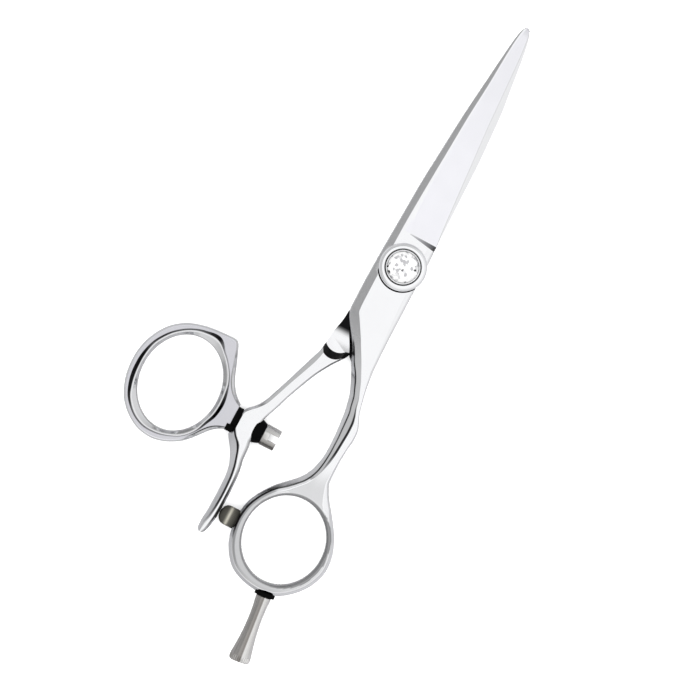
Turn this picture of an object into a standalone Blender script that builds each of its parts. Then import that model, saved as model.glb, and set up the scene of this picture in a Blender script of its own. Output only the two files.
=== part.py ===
"""Hair cutting shears with a swivelling thumb ring, a crystal tension dial and a removable finger rest.

The pivot axis is the Z axis, the blades point to +X, the thumb ring lies to +Y, and z = 0 is the flat
underside of the pivot screw's head. Numbers are millimetres until they reach a mesh.
"""

import math

import bmesh
import bpy
from mathutils import Matrix, Vector

MM = 0.001

# Heights
RIDE_Z = 3.30            # the plane where the two halves meet, and the height of the swivel axis
RIDE_GAP = 0.03          # each half stands this far from the ride plane
HALF_THICK = 2.60        # a half at the pivot
RING_HALF_HEIGHT = 2.70
SHANK_HALF_HEIGHT = 2.40

# Pivot
SCREW_R, SCREW_HEAD_R, SCREW_HEAD_H, SCREW_TOP = 1.90, 4.30, 0.90, 7.20
KEY_FLAT = 1.55          # the screw's neck has two flats this far from its axis
BUSH_R, BUSH_FIT = 2.70, 0.03
RUN = 0.03               # running clearance on a radius
RIDE_WASHER_R = 4.60
DIAL_R, DIAL_Z0, DIAL_Z1 = 5.95, 6.22, 8.05
BEZEL_R, GEM_R, GEM_TABLE_R = 4.65, 4.08, 2.15

# Swivel, about an axis along Y
SWIVEL_X = -52.2
PIN_R, PIN_Y0, PIN_Y1 = 1.40, 9.90, 22.60
SWIVEL_BUSH_R = 2.10
WASHER_R = 3.20
NUT_R, NUT_Y0, NUT_Y1, SLOT_W, SLOT_DEEP = 2.72, 7.50, 11.40, 1.85, 2.30

# Rings
FINGER_RING, FINGER_OPENING = (-73.0, -5.15), (11.2, 10.25)
THUMB_RING, THUMB_OPENING = (-50.5, 35.4), (12.2, 10.1)

# Stop and finger rest
BUMPER_X, BUMPER_R, BUMPER_Y0, BUMPER_Y1 = -74.0, 2.48, 7.75, 12.0
REST_AT, REST_TILT, REST_LENGTH = (-86.45, -7.15), 6.2, 18.3

# The finger half, by X: upper outline, under-bevel line, face line, lower outline
FINGER_UPPER = [(66.5, 0.30), (65, 1.35), (60, 2.1), (50, 3.2), (40, 4.26), (30, 5.06), (20, 5.8), (10, 6.2),
                (0, 6.65), (-10, 6.85), (-15, 6.75), (-16.5, 6.4), (-18, 5.6), (-20, 4.2), (-22, 2.7), (-25, 1.2),
                (-28, -0.4), (-32, -2.3), (-35, -3.3), (-40, -4.2), (-45, -4.5), (-50, -4.3), (-59, -4.0)]
FINGER_BEVEL = [(66.5, 0.28), (65, 1.28), (50, 3.0), (30, 4.8), (8, 6.1), (-10, 6.7), (-15, 6.6), (-18, 5.2),
                (-20, 3.7), (-22, 2.0), (-26, -0.2), (-30, -2.5), (-35, -4.2), (-40, -5.0), (-45, -5.2), (-59, -4.8)]
FINGER_FACE = [(66.5, 0.18), (65, 1.1), (60, 1.6), (50, 2.2), (40, 3.0), (30, 3.55), (20, 4.1), (8, 4.6), (-4, 4.75),
               (-12, 4.75), (-14, 4.5), (-17, 2.7), (-20, 0.9), (-25, -1.3), (-30, -3.7), (-35, -5.4), (-40, -6.5),
               (-45, -6.6), (-59, -6.2)]
FINGER_LOWER = [(66.5, -0.30), (65, -1.0), (60, -1.55), (50, -2.1), (40, -2.6), (30, -3.3), (20, -4.0), (12, -4.6),
                (8, -5.0), (0, -5.2), (-15, -5.2), (-25, -5.4), (-30, -5.9), (-35, -6.9), (-37, -7.4), (-39, -8.3),
                (-41, -9.1), (-43, -9.2), (-45, -8.8), (-50, -8.6), (-59, -8.4)]
FINGER_TOP = [(66.5, 4.40), (60, 4.65), (40, 5.15), (20, 5.6), (8, 5.9), (-20, 5.9), (-30, 5.8), (-59, 5.75)]
FINGER_GRIND = [(8, 2.2), (12, 2.85), (20, 3.0), (30, 2.75), (40, 2.3), (50, 1.8), (60, 1.35), (66, 0.5), (69, 0.1)]

# The thumb half, by X
THUMB_UPPER = [(66.2, 0.20), (64, 0.6), (60, 1.0), (40, 2.6), (20, 3.7), (8, 4.6), (0, 5.8), (-8, 6.6), (-12, 6.8),
               (-17, 6.9), (-22, 7.9), (-27, 8.5), (-30, 9.4), (-35, 11.2), (-40, 13.0), (-45, 14.6), (-46.5, 15.5),
               (-48, 17.0), (-49, 18.0), (-49.5, 18.3), (-55.4, 18.3), (-56.2, 18.1), (-58, 17.2), (-60, 16.1),
               (-62, 15.4), (-65, 14.9), (-70, 14.8), (-80, 15.1), (-80.7, 14.6)]
THUMB_LOWER = [(66.2, -0.35), (65, -1.2), (60, -2.2), (50, -3.4), (45, -4.0), (40, -4.3), (30, -4.75), (20, -4.85),
               (8, -5.05), (0, -5.1), (-8, -5.0), (-12, -4.5), (-16, -3.1), (-20, -1.2), (-22, 0.1), (-25, 1.7),
               (-26, 2.05), (-27, 2.75), (-28, 3.6), (-29, 4.5), (-30, 5.0), (-32, 6.2), (-35, 7.6), (-40, 9.8),
               (-45, 11.7), (-49, 13.1), (-52, 13.6), (-55, 13.6), (-57, 13.3), (-60, 13.0), (-65, 12.4),
               (-70, 12.06), (-75, 12.15), (-78, 12.7), (-80, 13.05), (-80.7, 13.6)]
THUMB_FLOOR = [(66.2, 2.40), (40, 1.45), (20, 1.0), (8, 0.7), (-20, 0.7), (-30, 0.9), (-45, 0.9), (-50, 0.7),
               (-55, 0.7), (-60, 0.95), (-75, 1.15), (-80.7, 1.6)]

# Outer outlines of the rings, counter-clockwise, each starting at its neck
FINGER_RING_OUTLINE = [(-55, -6.2), (-55.2, -3.95), (-56.5, -3.3), (-58, -2.2), (-60, -0.2), (-61.5, 1.5), (-63, 3.2),
                       (-65, 4.9), (-67, 6.2), (-69, 7.1), (-71.5, 7.6), (-74, 7.7), (-77, 7.25), (-80, 6.2),
                       (-82.5, 4.7), (-84.7, 2.6), (-86.1, -0.3), (-86.8, -3.5), (-86.8, -6.8), (-85.7, -10.2),
                       (-83.4, -13.5), (-80.4, -16.1), (-77, -17.6), (-74, -18.0), (-70.5, -17.5), (-67, -16.2),
                       (-64, -14.3), (-62, -12.5), (-60, -10.8), (-57.5, -9.4), (-55.2, -8.5)]
THUMB_RING_OUTLINE = [(-52.3, 19.75), (-49.4, 19.75), (-49.0, 20.7), (-48.2, 21.8), (-46.8, 23.05), (-44.7, 24.05),
                      (-42, 25.15), (-39.5, 26.2), (-37.2, 27.15), (-35.6, 28.0), (-34.9, 29.3), (-34.8, 31.5),
                      (-35.0, 34.3), (-35.5, 37.3), (-36.6, 40.4), (-38.5, 43.3), (-41, 45.5), (-44.3, 47.3),
                      (-48, 48.25), (-52, 48.45), (-56, 47.7), (-60, 45.8), (-63, 43), (-65, 39.8), (-65.75, 36.4),
                      (-65.4, 33.3), (-64, 30.2), (-62, 27.9), (-59.5, 25.6), (-57.2, 23.7), (-56, 22.3),
                      (-55.5, 20.9), (-55.2, 19.75)]

PARTS = HELPERS = None


def clear_scene():
    for thing in list(bpy.data.objects):
        bpy.data.objects.remove(thing, do_unlink=True)


def collection(name, hidden=False):
    made = bpy.data.collections.new(name)
    bpy.context.scene.collection.children.link(made)
    made.hide_render = hidden
    return made


def material(name, colour, metallic, roughness, coat=0.0, transmission=0.0):
    made = bpy.data.materials.new(name)
    made.use_nodes = True
    shader = made.node_tree.nodes["Principled BSDF"]
    shader.inputs["Base Color"].default_value = (*colour, 1)
    shader.inputs["Metallic"].default_value = metallic
    shader.inputs["Roughness"].default_value = roughness
    shader.inputs["Coat Weight"].default_value = coat
    shader.inputs["Transmission Weight"].default_value = transmission
    return made


def mesh_object(name, bm, look=None, origin=(0, 0, 0)):
    """The bmesh, in millimetres about the origin, as an object: a part if it has a look, a helper if not."""
    bmesh.ops.recalc_face_normals(bm, faces=bm.faces)
    bmesh.ops.scale(bm, vec=(MM, MM, MM), verts=bm.verts)
    mesh = bpy.data.meshes.new(name)
    bm.to_mesh(mesh)
    bm.free()
    made = bpy.data.objects.new(name, mesh)
    made.location = Vector(origin) * MM
    if look:
        mesh.materials.append(look)
        PARTS.objects.link(made)
    else:
        HELPERS.objects.link(made)
        made.hide_render = True
        made.display_type = "WIRE"
    return made


def boolean(target, tool, operation="DIFFERENCE"):
    cut = target.modifiers.new(operation.title() + "_" + tool.name, "BOOLEAN")
    cut.operation, cut.solver, cut.object = operation, "EXACT", tool


def between(table, x):
    """A smooth value at x from a table of (x, value), with no overshoot (monotone cubic)."""
    table = sorted(table)
    if x <= table[0][0]:
        return table[0][1]
    if x >= table[-1][0]:
        return table[-1][1]
    slopes = [(b[1] - a[1]) / (b[0] - a[0]) for a, b in zip(table, table[1:])]
    tangents = [slopes[0]]
    tangents += [0.0 if a * b <= 0 else 2 * a * b / (a + b) for a, b in zip(slopes, slopes[1:])]
    tangents.append(slopes[-1])
    i = max(k for k in range(len(slopes)) if table[k][0] <= x)
    (x0, y0), (x1, y1) = table[i], table[i + 1]
    h = x1 - x0
    t = (x - x0) / h
    return ((2 * t**3 - 3 * t**2 + 1) * y0 + (t**3 - 2 * t**2 + t) * h * tangents[i]
            + (3 * t**2 - 2 * t**3) * y1 + (t**3 - t**2) * h * tangents[i + 1])


def loft(sections, closed=False):
    """A closed body through sections with the same number of points, capped unless it closes on itself."""
    bm = bmesh.new()
    rings = [[bm.verts.new(p) for p in section] for section in sections]
    pairs = list(zip(rings, rings[1:])) + ([(rings[-1], rings[0])] if closed else [])
    for first, second in pairs:
        for k in range(len(first)):
            n = (k + 1) % len(first)
            bm.faces.new((first[k], first[n], second[n], second[k]))
    if not closed:
        bm.faces.new(rings[0])
        bm.faces.new(rings[-1])
    return bm


def turned(profile, steps=48):
    """A profile of (radius, height) turned about Z."""
    bm = bmesh.new()
    points = [bm.verts.new((r, 0, z)) for r, z in profile]
    on_axis = profile[0][0] == 0 and profile[-1][0] == 0
    pairs = list(zip(points, points[1:])) + ([] if on_axis else [(points[-1], points[0])])
    edges = [bm.edges.new(pair) for pair in pairs]
    bmesh.ops.spin(bm, geom=points + edges, cent=(0, 0, 0), axis=(0, 0, 1), angle=2 * math.pi, steps=steps,
                   use_merge=False, use_duplicate=False)
    bmesh.ops.remove_doubles(bm, verts=bm.verts, dist=1e-4)
    return bm


def tube(r_in, r_out, z0, z1, edge=0.0):
    e = edge
    if not e:
        return [(r_in, z0), (r_out, z0), (r_out, z1), (r_in, z1)]
    return [(r_in, z0), (r_out - e, z0), (r_out, z0 + e), (r_out, z1 - e), (r_out - e, z1), (r_in, z1)]


def rod(r, z0, z1, edge=0.0):
    e = edge
    if not e:
        return [(0, z0), (r, z0), (r, z1), (0, z1)]
    return [(0, z0), (r - e, z0), (r, z0 + e), (r, z1 - e), (r - e, z1), (0, z1)]


def along_y(bm, sign=1):
    """Turns a body made about Z so that its axis lies along +Y or -Y."""
    bmesh.ops.rotate(bm, verts=bm.verts, cent=(0, 0, 0), matrix=Matrix.Rotation(-sign * math.pi / 2, 3, "X"))
    return bm


def box(size, centre):
    bm = bmesh.new()
    bmesh.ops.create_cube(bm, size=1)
    bmesh.ops.scale(bm, vec=size, verts=bm.verts)
    bmesh.ops.translate(bm, vec=centre, verts=bm.verts)
    return bm


def stations(start, stop, step):
    count = max(1, round(abs(stop - start) / step))
    return [start + (stop - start) * k / count for k in range(count + 1)]


def smooth_step(x, a, b):
    t = min(1, max(0, (x - a) / (b - a)))
    return t * t * (3 - 2 * t)


def finger_section(x):
    upper, bevel = between(FINGER_UPPER, x), between(FINGER_BEVEL, x)
    face, lower = between(FINGER_FACE, x), between(FINGER_LOWER, x)
    thick = smooth_step(-x, 28.2, 33)                       # 0 over the ride, 1 where the shank is a full rod
    floor = (RIDE_Z + RIDE_GAP) * (1 - thick) + (RIDE_Z - SHANK_HALF_HEIGHT) * thick
    top = between(FINGER_TOP, x)
    high = top - floor
    soft = 0.06 + 0.9 * thick
    break_edge = min(0.35 + 0.3 * thick, 0.2 * (upper - lower))
    return [(x, lower, floor + soft), (x, lower + soft * 0.8, floor), (x, upper - soft * 0.8, floor),
            (x, upper, floor + soft), (x, upper, top - 0.40 * high * (1 - 0.4 * thick)),
            (x, bevel, top - 0.22 * high), (x, face, top), (x, lower + break_edge, top),
            (x, lower, top - 0.22 * high)]


def grind_section(x, flip=False):
    """The cutter that grinds one blade's outer face down towards its edge."""
    face, top = between(FINGER_GRIND, x), between(FINGER_TOP, x)
    edge = between(FINGER_LOWER, x) - 0.2
    lip = RIDE_Z + RIDE_GAP + 0.28 + 0.25 * smooth_step(-x, -40, -8)
    reach = 1.5
    slope = (top - lip) / (face - edge)
    points = [(face, top), (face + 0.4, top + 0.4 * slope), (face, top + 3), (edge - reach, top + 3),
              (edge - reach, lip - slope * reach)]
    if flip:
        points = [(-y, 2 * RIDE_Z - z) for y, z in points]
    return [(x, y, z) for y, z in points]


def thumb_section(x):
    upper, lower, floor = between(THUMB_UPPER, x), between(THUMB_LOWER, x), between(THUMB_FLOOR, x)
    thick = 1.0 if x < -25.9 else 0.0
    top = 2 * RIDE_Z - floor if thick else RIDE_Z - RIDE_GAP
    wide, high = upper - lower, top - floor
    soft = min(0.9, 0.3 * wide) if thick else 0.06
    under = min(0.9, 0.3 * wide) if thick else min(1.4, 0.3 * wide)
    return [(x, lower, floor + 0.3 * high), (x, lower + under, floor), (x, upper - under * 0.8, floor),
            (x, upper, floor + 0.25 * high), (x, upper, top - soft), (x, upper - soft * 0.9, top),
            (x, lower + soft * 1.1, top), (x, lower, top - soft)]


def ring_bm(centre, opening, outline, web_drop, rounding=1.05):
    """A ring with a round-edged section between an elliptical opening and an outline that runs into its neck."""
    cx, cy = centre
    count = len(outline)
    dense = []
    for k in range(count):
        a, b, c, d = (outline[(k + j) % count] for j in (-1, 0, 1, 2))
        dense.append(b)
        dense.append(tuple((-a[i] + 9 * b[i] + 9 * c[i] - d[i]) / 16 for i in (0, 1)))
    sections = []
    for x, y in dense:
        angle = math.atan2(y - cy, x - cx)
        reach = 1 / math.hypot(math.cos(angle) / opening[0], math.sin(angle) / opening[1])
        inner = (cx + reach * math.cos(angle), cy + reach * math.sin(angle))
        wide = math.hypot(x - inner[0], y - inner[1])
        high = RING_HALF_HEIGHT - web_drop * smooth_step(wide, 3.2, 5.0)
        r = min(rounding, 0.4 * wide)
        shape = [(0, 0), (0.18 * r, 0.62), (r, 1), (wide - r, 1), (wide - 0.18 * r, 0.62), (wide, 0),
                 (wide - 0.18 * r, -0.62), (wide - r, -1), (r, -1), (0.18 * r, -0.62)]
        sections.append([(inner[0] + (x - inner[0]) * s / wide, inner[1] + (y - inner[1]) * s / wide,
                          RIDE_Z + h * high) for s, h in shape])
    return loft(sections, closed=True)


def rest_frame():
    """The finger rest's axis: local +Z runs outwards from the ring."""
    tilt = math.radians(REST_TILT)
    out = Vector((-math.cos(tilt), -math.sin(tilt), 0))
    turn = out.to_track_quat("Z", "Y").to_matrix()
    return turn, Vector((REST_AT[0], REST_AT[1], RIDE_Z))


def turned_on_rest(profile, steps=40):
    bm = turned(profile, steps)
    turn, _ = rest_frame()
    bmesh.ops.rotate(bm, verts=bm.verts, cent=(0, 0, 0), matrix=turn)
    return bm


def gem_bm():
    """A flat-backed stone: sixteen-sided girdle, kite-like crown facets and an eight-sided table."""
    def ring(radius, z, count, turn):
        return [(radius * math.cos(2 * math.pi * (k + turn) / count), radius * math.sin(2 * math.pi * (k + turn) / count),
                 z) for k in range(count)]
    points = (ring(3.95, 7.84, 16, 0) + ring(GEM_R, 8.05, 16, 0) + ring(GEM_R, 8.30, 16, 0)
              + ring(3.30, 8.98, 8, 0.5) + ring(GEM_TABLE_R, 9.45, 8, 0))
    bm = bmesh.new()
    verts = [bm.verts.new(p) for p in points]
    bmesh.ops.convex_hull(bm, input=verts)
    bmesh.ops.dissolve_limit(bm, angle_limit=math.radians(0.5), verts=bm.verts, edges=bm.edges)
    return bm


def make_finger_half(steel):
    xs = ([66.5, 66.0, 65.0] + stations(62, 10, 4) + stations(7, -13, 3) + stations(-14.5, -59, 1.3))
    half = mesh_object("finger_blade", loft([finger_section(x) for x in xs]), steel)
    ring = mesh_object("join_finger_ring", ring_bm(FINGER_RING, FINGER_OPENING, FINGER_RING_OUTLINE, 0.35))
    boolean(half, ring, "UNION")
    grind = loft([grind_section(x) for x in [8.0] + stations(12, 64, 4) + [66, 69]])
    boolean(half, mesh_object("cut_finger_grind", grind))

    bore = mesh_object("cut_keyed_bore", turned(rod(SCREW_R + RUN, -1, 12)))
    flats = mesh_object("cut_keyed_bore_flats", box((12, 2 * (KEY_FLAT + RUN), 30), (0, 0, 5)))
    boolean(bore, flats, "INTERSECT")
    boolean(half, bore)
    recess = turned(tube(1.0, RIDE_WASHER_R + RUN, RIDE_Z - 1, RIDE_Z + 0.30))
    boolean(half, mesh_object("cut_ride_washer_recess", recess))

    stud = mesh_object("cut_stud_hole", along_y(turned(rod(1.03, 5.95, 12), 24)), origin=(BUMPER_X, 0, RIDE_Z))
    boolean(half, stud)
    _, at = rest_frame()
    hole = mesh_object("cut_rest_hole", turned_on_rest(rod(1.23, -2.1, 3), 24), origin=at)
    boolean(half, hole)
    seat = mesh_object("cut_rest_seat", turned_on_rest(rod(2.9, 0, 3)), origin=at)
    boolean(half, seat)
    return half


def make_thumb_half(steel):
    xs = ([66.2, 65.6, 64.5] + stations(62, 10, 4) + stations(7, -13, 3) + stations(-14.5, -25.5, 1.0)
          + stations(-26.0, -48.4, 1.3) + stations(-49, -56.5, 0.75) + stations(-57.5, -80, 1.5) + [-80.7])
    half = mesh_object("thumb_blade", loft([thumb_section(x) for x in xs]), steel)
    grind = loft([grind_section(x, flip=True) for x in [8.0] + stations(12, 64, 4) + [66, 69]])
    bmesh.ops.scale(grind, vec=(1, 0.82, 1), verts=grind.verts)
    boolean(half, mesh_object("cut_thumb_grind", grind))
    relief = mesh_object("cut_ride_relief", turned(rod(3.4, RIDE_Z - RIDE_GAP, 9)), origin=(-24.8, 5.3, 0))
    boolean(half, relief)

    bore = mesh_object("cut_pivot_bore", turned(rod(BUSH_R + BUSH_FIT, -1, 6)))
    boolean(half, bore)
    head = mesh_object("cut_screw_head", turned(rod(SCREW_HEAD_R + 0.08, -1, SCREW_HEAD_H + 0.05)))
    boolean(half, head)

    at = (SWIVEL_X, 0, RIDE_Z)
    bore = mesh_object("cut_swivel_bore", along_y(turned(rod(SWIVEL_BUSH_R + RUN, 8, 22), 32)), origin=at)
    boolean(half, bore)
    seat = [(0, 8.0), (WASHER_R + 0.12, 8.0), (WASHER_R + 0.12, 12.63), (2.6, 13.35), (1.5, 13.86), (0, 14.03)]
    boolean(half, mesh_object("cut_washer_seat", along_y(turned(seat, 40)), origin=at))
    return half


def make_pivot(steel, bright, polymer, gem_look, foil_look):
    screw = mesh_object("pivot_screw", turned([
        (0, 0), (SCREW_HEAD_R - 0.25, 0), (SCREW_HEAD_R, 0.25), (SCREW_HEAD_R, SCREW_HEAD_H - 0.05),
        (SCREW_HEAD_R - 0.05, SCREW_HEAD_H), (SCREW_R, SCREW_HEAD_H), (SCREW_R, SCREW_TOP - 0.2),
        (SCREW_R - 0.2, SCREW_TOP), (0, SCREW_TOP)]), steel)
    for side in (1, -1):
        flat = box((6, 1, 5.96 - 3.40), (0, side * (KEY_FLAT + 0.5), (5.96 + 3.40) / 2))
        boolean(screw, mesh_object("cut_screw_flat_" + ("upper" if side > 0 else "lower"), flat))
    mesh_object("pivot_bush", turned(tube(SCREW_R + RUN, BUSH_R, SCREW_HEAD_H + 0.12, RIDE_Z - 0.10)), polymer)
    mesh_object("ride_washer", turned(tube(2.1, RIDE_WASHER_R, RIDE_Z - 0.002, RIDE_Z + 0.27)), polymer)
    mesh_object("dial_washer", turned(tube(SCREW_R + 0.08, 5.30, 5.93, 6.18)), steel)
    mesh_object("tension_spring", turned([(2.3, 6.52), (4.5, 6.215), (4.5, 6.43), (2.3, 6.735)]), steel)
    mesh_object("tension_dial", turned([
        (SCREW_R + RUN, 6.80), (4.72, 6.80), (4.72, DIAL_Z0), (DIAL_R - 0.25, DIAL_Z0), (DIAL_R, DIAL_Z0 + 0.25),
        (DIAL_R, DIAL_Z1 - 0.75), (DIAL_R - 0.22, DIAL_Z1 - 0.22), (DIAL_R - 0.7, DIAL_Z1), (4.70, DIAL_Z1),
        (4.70, 7.42), (SCREW_R + RUN, 7.42)], 72), bright)
    mesh_object("crystal_bezel", turned([
        (1.2, 7.45), (BEZEL_R, 7.45), (BEZEL_R, 8.25), (BEZEL_R - 0.14, 8.5), (BEZEL_R - 0.36, 8.56),
        (GEM_R + 0.05, 8.42), (GEM_R + 0.05, 7.72), (1.2, 7.72)], 64), bright)
    mesh_object("crystal_foil", turned(rod(3.9, 7.745, 7.815), 48), foil_look)
    mesh_object("crystal", gem_bm(), gem_look)


def make_swivel(steel, nickel, black, bronze):
    ring = mesh_object("thumb_ring", ring_bm(THUMB_RING, THUMB_OPENING, THUMB_RING_OUTLINE, 0.25), steel)
    at = (SWIVEL_X, 0, RIDE_Z)
    hole = mesh_object("cut_pin_socket", along_y(turned(rod(PIN_R + 0.02, 18, PIN_Y1 + 0.05), 32)), origin=at)
    boolean(ring, hole)
    mesh_object("swivel_pin", along_y(turned(rod(PIN_R, PIN_Y0, PIN_Y1, 0.15), 32)), steel, at)
    mesh_object("swivel_bush", along_y(turned(tube(PIN_R + RUN, SWIVEL_BUSH_R, 14.10, 18.26), 32)), bronze, at)
    mesh_object("inner_swivel_washer", along_y(turned(tube(PIN_R + RUN, WASHER_R, 18.33, 19.71, 0.2), 40)), black, at)
    dome = [(PIN_R + RUN, 11.43), (WASHER_R - 0.1, 11.43), (WASHER_R, 11.55), (WASHER_R, 12.45), (2.55, 13.27),
            (PIN_R + RUN, 13.82)]
    mesh_object("outer_swivel_washer", along_y(turned(dome, 40)), black, at)
    nut = mesh_object("swivel_nut", along_y(turned(tube(PIN_R + 0.02, NUT_R, NUT_Y0, NUT_Y1, 0.25), 40)), nickel, at)
    slot = box((SLOT_W, 2 * SLOT_DEEP, 12), (0, NUT_Y0, 0))
    boolean(nut, mesh_object("cut_nut_slot", slot, origin=at))


def make_stop_and_rest(steel, nickel, black, rubber):
    at = (BUMPER_X, 0, RIDE_Z)
    r, y0, y1 = BUMPER_R, BUMPER_Y0, BUMPER_Y1
    dome = [(r * math.cos(a), y1 - 2.0 + 2.0 * math.sin(a)) for a in (math.radians(15 * k) for k in range(6))]
    profile = [(1.03, y0), (r - 0.25, y0), (r, y0 + 0.3), *dome, (0, y1)]
    bumper = mesh_object("stop_bumper", along_y(turned([(0, y0), *profile[1:]], 48)), rubber, at)
    hole = mesh_object("cut_bumper_bore", along_y(turned(rod(1.03, y0 - 1, 10.70), 24)), origin=at)
    boolean(bumper, hole)
    mesh_object("bumper_stud", along_y(turned(rod(1.0, 6.0, 10.6, 0.12), 24)), steel, at)

    _, at = rest_frame()
    mesh_object("finger_rest_washer", turned_on_rest(tube(1.25, 2.55, 0.03, 1.03, 0.12)), black, at)
    end = REST_LENGTH
    mesh_object("finger_rest", turned_on_rest([
        (0, -2.0), (1.05, -2.0), (1.2, -1.85), (1.2, 1.06), (1.75, 1.06), (1.9, 1.25), (1.85, 2.4), (1.70, 4.2),
        (1.68, 6.8), (1.78, 9.6), (2.05, 12.6), (2.42, 15.2), (2.66, 16.6), (2.70, end - 1.0), (2.58, end - 0.35),
        (2.2, end), (0, end)]), nickel, at)


def main():
    global PARTS, HELPERS
    clear_scene()
    PARTS, HELPERS = collection("hair_cutting_shears"), collection("cutters", hidden=True)
    steel = material("polished_steel", (0.80, 0.81, 0.83), 1.0, 0.12)
    bright = material("bright_chrome", (0.88, 0.89, 0.91), 1.0, 0.06)
    nickel = material("satin_nickel", (0.62, 0.60, 0.57), 1.0, 0.28)
    polymer = material("white_polymer", (0.82, 0.81, 0.77), 0.0, 0.45)
    black = material("black_nylon", (0.02, 0.02, 0.022), 0.0, 0.4)
    rubber = material("grey_rubber", (0.15, 0.15, 0.13), 0.0, 0.6)
    bronze = material("bronze", (0.60, 0.40, 0.20), 1.0, 0.3)
    gem_look = material("clear_crystal", (0.97, 0.98, 1.0), 0.0, 0.02, transmission=1.0)
    foil_look = material("mirror_foil", (0.90, 0.91, 0.93), 1.0, 0.05)
    make_finger_half(steel)
    make_thumb_half(steel)
    make_pivot(steel, bright, polymer, gem_look, foil_look)
    make_swivel(steel, nickel, black, bronze)
    make_stop_and_rest(steel, nickel, black, rubber)


main()
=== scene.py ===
"""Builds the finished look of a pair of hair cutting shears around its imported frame: mirror-polished halves and
rings, a satin spine bevel, a cut stone in a bright dial, and the black, grey and nickel fittings."""

import math

import bmesh
import bpy
from mathutils import Matrix, Vector


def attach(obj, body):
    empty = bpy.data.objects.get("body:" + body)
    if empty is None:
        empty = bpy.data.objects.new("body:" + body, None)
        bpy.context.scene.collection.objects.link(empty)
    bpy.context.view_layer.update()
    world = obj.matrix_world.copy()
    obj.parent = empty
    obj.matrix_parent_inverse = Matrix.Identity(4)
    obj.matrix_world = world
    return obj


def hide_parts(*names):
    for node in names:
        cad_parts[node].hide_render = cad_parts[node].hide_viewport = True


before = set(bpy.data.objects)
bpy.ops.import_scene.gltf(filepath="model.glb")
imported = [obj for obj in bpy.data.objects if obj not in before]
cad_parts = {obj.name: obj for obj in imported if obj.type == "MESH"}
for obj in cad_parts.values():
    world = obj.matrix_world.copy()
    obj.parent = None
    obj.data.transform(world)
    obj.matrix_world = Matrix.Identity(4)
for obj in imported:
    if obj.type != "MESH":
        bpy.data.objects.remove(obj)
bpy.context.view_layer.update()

bl_info = {
    "name": "Hair cutting shears",
    "version": (1, 0, 0),
    "blender": (4, 5, 0),
    "location": "3D Viewport > Sidebar > Shears",
    "description": "Builds the pieces, finishes and studio of a pair of hair cutting shears",
    "category": "Add Mesh",
}

MM = 0.001

# Heights, in millimetres like every size below: the ride plane lies half way up the shears
RIDE_Z, RIDE_GAP = 3.30, 0.03
RING_HALF, SHANK_HALF = 2.70, 2.42
SWIVEL_X = -52.2

# The finger half by X: upper outline, under-bevel ridge, face ridge, middle line, lower outline, top, ground line
FINGER_UPPER = [(66.5, 0.28), (66.2, 0.66), (65.6, 1.05), (64.5, 1.42), (60, 2.1), (50, 3.2), (40, 4.26), (30, 5.06),
                (20, 5.8), (10, 6.2), (0, 6.65), (-10, 6.85), (-14, 6.8), (-16, 6.4), (-18, 5.35), (-20, 3.95),
                (-22, 2.65), (-24, 1.6), (-26, 0.72), (-28.5, -0.6), (-30, -1.3), (-32, -2.2), (-34, -2.95),
                (-36, -3.4), (-38, -3.8), (-40, -4.0), (-42, -4.2), (-45, -4.4), (-48, -4.45), (-50, -4.35),
                (-53, -3.75), (-55, -3.05), (-57, -1.85), (-59, 0.0), (-60, 1.05), (-61.5, 2.6)]
FINGER_UNDER = [(-14, 6.7), (-16, 6.2), (-18, 5.05), (-20, 3.45), (-22, 1.95), (-24, 0.8), (-26, -0.15), (-28.5, -1.75),
                (-30, -2.55), (-32, -3.35), (-34, -4.12), (-36, -4.5), (-38, -4.95), (-40, -5.1), (-42, -5.2),
                (-45, -5.35), (-48, -5.35), (-50, -5.25), (-53, -4.9), (-55, -4.3), (-57, -3.3), (-59, -1.6), (-60, -0.6), (-61.5, 0.95)]
FINGER_FACE = [(66.5, 0.12), (65.6, 0.85), (60, 1.6), (50, 2.2), (40, 3.0), (30, 3.55), (20, 4.1), (8, 4.6), (-4, 4.75),
               (-12, 4.75), (-14.4, 4.6), (-16, 3.7), (-18, 2.5), (-20, 1.3), (-22, 0.2), (-24, -0.95), (-26, -2.05),
               (-28.5, -3.3), (-30, -4.0), (-32, -4.75), (-34, -5.45), (-36, -5.85), (-38, -6.45), (-40, -6.8),
               (-42, -6.85), (-45, -6.7), (-48, -6.5), (-50, -6.25), (-53, -5.75), (-55, -5.2), (-57, -4.3),
               (-60, -1.8), (-61.5, -0.3)]
FINGER_MIDDLE = [(66.5, 0), (65.6, 0.6), (60, 1.3), (50, 1.95), (40, 2.6), (30, 3.1), (20, 3.5), (8, 3.3), (0, 1.0),
                 (-10, 0), (-20, -2.0), (-30, -4.9), (-36, -6.5), (-41, -7.75), (-46, -7.55), (-50, -7.2), (-56, -6.1),
                 (-63, -5.15)]
FINGER_LOWER = [(66.5, -0.28), (66.0, -0.62), (65, -0.98), (60, -1.55), (50, -2.1), (40, -2.6), (30, -3.3), (20, -4.0),
                (12, -4.6), (8, -5.0), (0, -5.2), (-15, -5.2), (-25, -5.4), (-30, -5.9), (-35, -6.9), (-37, -7.4),
                (-39, -8.3), (-41, -9.0), (-43, -9.1), (-46, -8.75), (-50, -8.5), (-55, -8.6), (-57.5, -9.6),
                (-60, -11.2), (-62, -12.75)]
FINGER_TOP = [(66.5, 4.40), (60, 4.65), (40, 5.15), (20, 5.6), (8, 5.9), (-20, 5.9), (-30, 5.82), (-63, 5.80)]
GROUND_LINE = [(8, 2.3), (12, 2.85), (20, 3.1), (30, 2.9), (40, 2.45), (50, 1.85), (60, 1.2), (65.6, 0.4), (66.5, -0.02)]
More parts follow.
